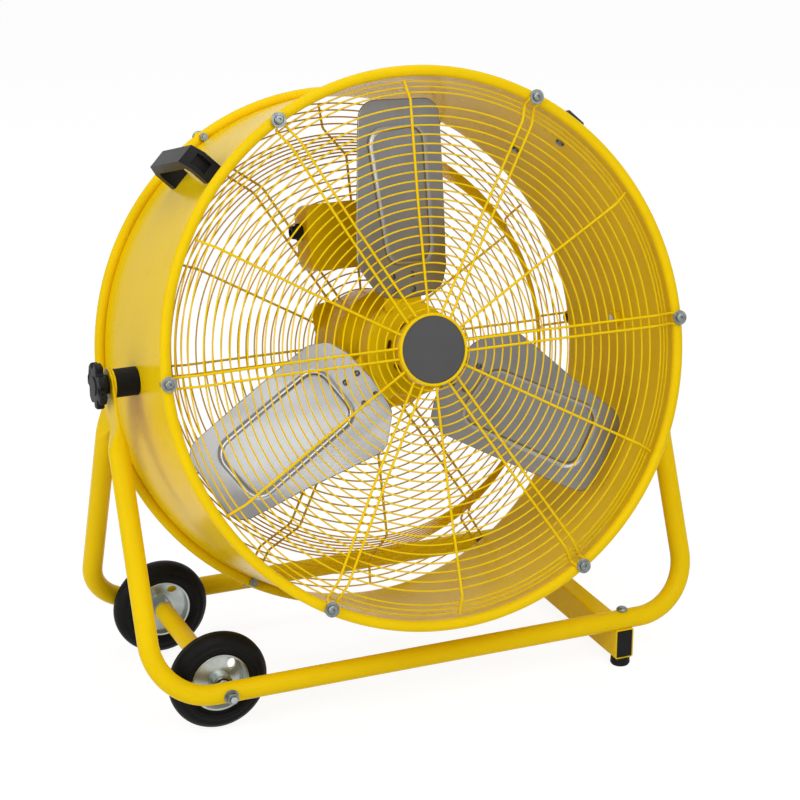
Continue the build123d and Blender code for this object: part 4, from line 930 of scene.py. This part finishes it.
# ---------------------------------------------------------------- stand and wheels
class DRUMFAN_OT_stand_tubes(Operator):
    """Two bent tubes whose upper ends are pressed flat round the pivots"""
    bl_idname = "drum_fan.stand_tubes"
    bl_label = "Stand Tubes"
    bl_options = {"REGISTER", "UNDO"}

    def execute(self, context):
        s = context.scene.drum_fan_stand
        rise = context.scene.drum_fan_place.pivot_height - s.rail
        for side, half, name in ((-1, s.half + s.flat, "front"), (1, s.half, "rear")):
            Form().grid(bent_tube(s, rise, side, half)).make(
                f"{name}_stand_tube_bent", "stand", f"{name}_stand_tube", "yellow_paint", sharp=50)
        return {"FINISHED"}


def bent_tube(s, rise, side, half):
    """A U of two bends that leans towards the pivots, with a superellipse for a section.

    The section is a circle low down; over the length of change it goes, by a smooth step, to a flat
    with squarer corners, and the tip narrows by a half circle."""
    leg = np.hypot(s.spread, rise)
    lean = np.array([0, -side * s.spread, rise]) / leg
    square = np.cross([1, 0, 0], lean)
    flat_half, thin = s.flat_width / 2, s.flat / 2
    tip = leg + flat_half
    line = rounded([(-half, tip), (-half, 0), (half, 0), (half, tip)], (0, s.bend, s.bend, 0),
                   arc_step=radians(4), run_step=0.0035)
    run = np.concatenate([[0], np.cumsum(np.hypot(*np.diff(line, axis=0).T))])
    level = np.minimum(run, run[-1] - run) - flat_half
    share = np.clip((level - s.flat_length) / s.change, 0, 1)
    share = share * share * (3 - 2 * share)
    tip_width = np.sqrt(np.clip(flat_half ** 2 - np.minimum(level, 0) ** 2, 0, None))
    width = np.where(level < 0, np.maximum(tip_width, 1e-5), flat_half + (s.tube - flat_half) * share)
    thick = np.where(level < -flat_half + 0.0012, thin * 0.7, thin + (s.tube - thin) * share)
    power = (2 / (2 + 5 * (1 - share)))[:, None]
    angle = 2 * pi * np.arange(40) / 40
    ca, sa = np.cos(angle), np.sin(angle)
    across = np.sign(ca) * np.abs(ca) ** power * thick[:, None]
    broad = np.sign(sa) * np.abs(sa) ** power * width[:, None]
    path = spots(line[:, 0], side * s.spread, s.rail) + line[:, 1:] * lean
    ahead = np.gradient(path, axis=0)
    ahead /= np.linalg.norm(ahead, axis=1)[:, None]
    other = np.cross(ahead, square)
    return path[:, None] + across[..., None] * other[:, None] + broad[..., None] * square


class DRUMFAN_OT_crossbar(Operator):
    """The round feet under the crossbar, which is among the small pieces"""
    bl_idname = "drum_fan.crossbar"
    bl_label = "Crossbar Feet"
    bl_options = {"REGISTER", "UNDO"}

    def execute(self, context):
        crossbar, spread = 0.257, context.scene.drum_fan_stand.spread
        foot = shaped((AXIS, 0.0, 0), (0.0108, 0.0, 0.0015), (0.0125, 0.003, 0.001),
                      (0.0118, 0.0114, 0.0006), (AXIS, 0.0114, 0), closed=False)
        for end, label in ((-1, "front"), (1, "rear")):
            Form().turned(foot, upright(crossbar, end * spread), 48, solid=True).make(
                f"rubber_foot_{label}", "stand", "rubber_feet", "black_rubber")
        return {"FINISHED"}


class DRUMFAN_OT_wheels(Operator):
    """Two solid tyres, each a profile that is the same on both sides of the wheel"""
    bl_idname = "drum_fan.wheels"
    bl_label = "Wheels"
    bl_options = {"REGISTER", "UNDO"}

    def execute(self, context):
        w = context.scene.drum_fan_wheels
        half = w.width / 2
        right = [(0.036, 0.0108, 0), (0.0385, 0.0112, 0.001), (0.0405, half - 0.0012, 0.001),
                 (0.0425, half, 0.0012), (0.0465, half - 0.0002, 0.001), (0.0478, half - 0.0014, 0.001),
                 (0.0535, half - 0.0024, 0.006), (0.0588, half - 0.0070, 0.006),
                 (w.radius, half - 0.0118, 0.004)]
        tyre = shaped(*right, *((r, -a, soft) for r, a, soft in right[::-1]))
        for side, name in ((-1, "front"), (1, "rear")):
            Form().turned(tyre, on_wheel(side), 120).make(
                f"{name}_tyre_ring", f"{name}_wheel", f"{name}_wheel_tyre", "wheel_tyre")
        return {"FINISHED"}


# ---------------------------------------------------------------- small pieces
# Nodes that get round edges: node, body, slot, the edges' width, and a finish other than the slot's.
EDGED_PIECES = (
    ("guard_bolts", "drum", "bright_zinc", 0.0005, "dull_zinc"),
    ("guard_washers", "drum", "bright_zinc", 0.0003, "dull_zinc"),
    ("guard_nuts", "drum", "bright_zinc", 0.0004, "dull_zinc"),
    ("handle_screws", "drum", "plain_steel", 0.0004),
    ("pivot_nuts", "drum", "yellow_paint", 0.0005),
    ("cable_gland", "drum", "black_plastic", 0.0006),
    ("motor_mount_plate", "drum", "yellow_paint", 0.0008),
    ("motor_rear_bell", "drum", "yellow_paint", 0.0010),
    ("motor_mount_bolts", "drum", "bright_zinc", 0.0004, "dull_zinc"),
    ("fan_hub", "rotor", "yellow_paint", 0.0008),
    ("hub_nut", "rotor", "bright_zinc", 0.0005, "dull_zinc"),
    ("crossbar", "stand", "yellow_paint", 0.0008),
    ("crossbar_bolts", "stand", "bright_zinc", 0.0005, "dull_zinc"),
    ("crossbar_end_caps", "stand", "black_plastic", 0.0008),
    ("axle_nuts", "stand", "bright_zinc", 0.0005, "dull_zinc"),
    ("axle_washers", "stand", "bright_zinc", 0.0003, "dull_zinc"),
    ("front_wheel_rim", "front_wheel", "bright_zinc", 0.0005),
    ("rear_wheel_rim", "rear_wheel", "bright_zinc", 0.0005),
    ("speed_dial", "speed_dial", "black_plastic", 0.0006),
)


class DRUMFAN_OT_fixings(Operator):
    """Bolts, washers, nuts and cast or folded pieces, with their small edge rounds"""
    bl_idname = "drum_fan.fixings"
    bl_label = "Fixings and Small Pieces"
    bl_options = {"REGISTER", "UNDO"}

    def execute(self, context):
        for node, *piece in EDGED_PIECES:
            softened(node, f"{node}_edged", *piece)
        return {"FINISHED"}


class DRUMFAN_OT_kept_nodes(Operator):
    """Gives every CAD node the finish of its slot, for those that stay in sight"""
    bl_idname = "drum_fan.kept_nodes"
    bl_label = "Finishes of the Kept Pieces"
    bl_options = {"REGISTER", "UNDO"}

    def execute(self, context):
        paint = finishes()
        for part in frame["record"]["subparts"]:
            node = NODES[part["node"]]
            node.data.materials.clear()
            node.data.materials.append(paint[part["material_slot"]])
        return {"FINISHED"}


# ---------------------------------------------------------------- stage
WHITE = (1, 1, 1)
# Name, place, size in metres and power in watts of each lamp, and the point that all look at.
LAMPS = (("key", (0.2, -2.5, 2.6), 2.4, 46), ("side", (-3.0, -1.0, 1.6), 2.0, 38),
         ("top", (0.2, 0.6, 3.2), 2.4, 26))
LAMP_TARGET = (0, 0, 0.4)
# The photograph's camera: place, yaw, pitch and roll in radians, focal length and width in pixels.
CAMERA_PLACE = (-1.0425, -2.4755, 1.2938)
CAMERA_YAW, CAMERA_PITCH, CAMERA_ROLL = 0.4043, -0.3412, 0.0032
CAMERA_FOCUS, CAMERA_PIXELS = 2308.8, 800
SENSOR_WIDTH = 36.0


class DRUMFAN_OT_stage(Operator):
    """The pale floor, the soft lamps and the camera at the photograph's angle"""
    bl_idname = "drum_fan.stage"
    bl_label = "Stage"
    bl_options = {"REGISTER", "UNDO"}

    def execute(self, context):
        scene = context.scene
        self.floor(scene)
        self.world(scene)
        self.lamps(scene)
        self.camera(scene)
        scene.view_settings.view_transform = "Standard"
        return {"FINISHED"}

    def floor(self, scene):
        """A flat plane whose paint goes to plain white for the camera and keeps the shadow."""
        tint, reach = tuple(scene.drum_fan_colours.floor), 20.0
        mesh = bpy.data.meshes.new("floor")
        mesh.from_pydata([(-reach, -reach, 0), (reach, -reach, 0), (reach, reach, 0), (-reach, reach, 0)],
                         [], [(0, 1, 2, 3)])
        plane = bpy.data.objects.new("floor", mesh)
        scene.collection.objects.link(plane)
        s = Shader("pale floor")
        base = s.mix(s.noise(s.place(), 3.0, 3.0), scaled(tint, 0.99), tint)
        matte = s.node("ShaderNodeBsdfDiffuse", {}, {"Color": base})
        white = s.node("ShaderNodeEmission", {}, {"Color": WHITE, "Strength": 1.12})
        s.show(s.node("ShaderNodeMixShader", {}, {0: s.seen() * 0.80, 1: matte, 2: white}))
        mesh.materials.append(s.material)

    def world(self, scene):
        """A soft white light all round, and plain white for the rays that show the world."""
        scene.world = bpy.data.worlds.new("studio")
        scene.world.use_nodes = True
        w = Nodes(scene.world.node_tree, "ShaderNodeOutputWorld")
        lit = w.node("ShaderNodeBackground", {}, {"Color": WHITE, "Strength": 0.40})
        shown = w.node("ShaderNodeBackground", {}, {"Color": WHITE, "Strength": 1.0})
        w.show(w.node("ShaderNodeMixShader", {}, {0: w.seen(), 1: lit, 2: shown}))

    def lamps(self, scene):
        """Three large soft lamps."""
        for name, at, reach, power in LAMPS:
            lamp = bpy.data.lights.new(name, "AREA")
            lamp.shape = "DISK"
            lamp.size = reach
            lamp.energy = power
            light = bpy.data.objects.new(name, lamp)
            light.matrix_world = looking(at, np.subtract(LAMP_TARGET, at))
            scene.collection.objects.link(light)

    def camera(self, scene):
        """The camera at the photograph's place, turned by its yaw and looking down by its pitch."""
        lens = bpy.data.cameras.new("camera")
        lens.sensor_width = SENSOR_WIDTH
        lens.lens = CAMERA_FOCUS / CAMERA_PIXELS * SENSOR_WIDTH
        lens.clip_end = 100
        camera = bpy.data.objects.new("camera", lens)
        level = cos(CAMERA_PITCH)
        ahead = (sin(CAMERA_YAW) * level, cos(CAMERA_YAW) * level, sin(CAMERA_PITCH))
        camera.matrix_world = looking(CAMERA_PLACE, ahead, CAMERA_ROLL)
        scene.collection.objects.link(camera)
        scene.camera = camera


def looking(at, ahead, roll=0.0):
    """A matrix at a point whose -Z runs ahead, with X level before it is turned by the roll."""
    ahead = np.divide(ahead, np.linalg.norm(ahead))
    right = np.cross(ahead, [0, 0, 1])
    right /= np.linalg.norm(right)
    up = np.cross(right, ahead)
    right, up = right * cos(roll) + up * sin(roll), up * cos(roll) - right * sin(roll)
    return Matrix([*np.stack([right, up, -ahead, at], 1).tolist(), [0, 0, 0, 1]])


OPERATORS = [
    DRUMFAN_OT_kept_nodes, DRUMFAN_OT_shell, DRUMFAN_OT_front_guard, DRUMFAN_OT_rear_guard,
    DRUMFAN_OT_centre, DRUMFAN_OT_blades, DRUMFAN_OT_rivets, DRUMFAN_OT_motor,
    DRUMFAN_OT_control_box, DRUMFAN_OT_handles, DRUMFAN_OT_pivots, DRUMFAN_OT_stand_tubes,
    DRUMFAN_OT_crossbar, DRUMFAN_OT_wheels, DRUMFAN_OT_fixings, DRUMFAN_OT_stage,
]


class DRUMFAN_PT_panel(Panel):
    """Lists the pieces and their sizes"""
    bl_idname = "DRUMFAN_PT_panel"
    bl_label = "Drum Fan"
    bl_space_type = "VIEW_3D"
    bl_region_type = "UI"
    bl_category = "Drum Fan"

    def draw(self, context):
        for operator in OPERATORS:
            self.layout.operator(operator.bl_idname)
        for key, group in GROUPS.items():
            box = self.layout.box()
            values = getattr(context.scene, key)
            for name in group.__annotations__:
                box.prop(values, name)


CLASSES = [*GROUPS.values(), *OPERATORS, DRUMFAN_PT_panel]


def register():
    for cls in CLASSES:
        bpy.utils.register_class(cls)
    for key, group in GROUPS.items():
        setattr(bpy.types.Scene, key, PointerProperty(type=group))


def unregister():
    for key in GROUPS:
        delattr(bpy.types.Scene, key)
    for cls in reversed(CLASSES):
        bpy.utils.unregister_class(cls)


def main():
    register()
    for operator in OPERATORS:
        group, name = operator.bl_idname.split(".")
        getattr(getattr(bpy.ops, group), name)()


if __name__ == "__main__":
    main()
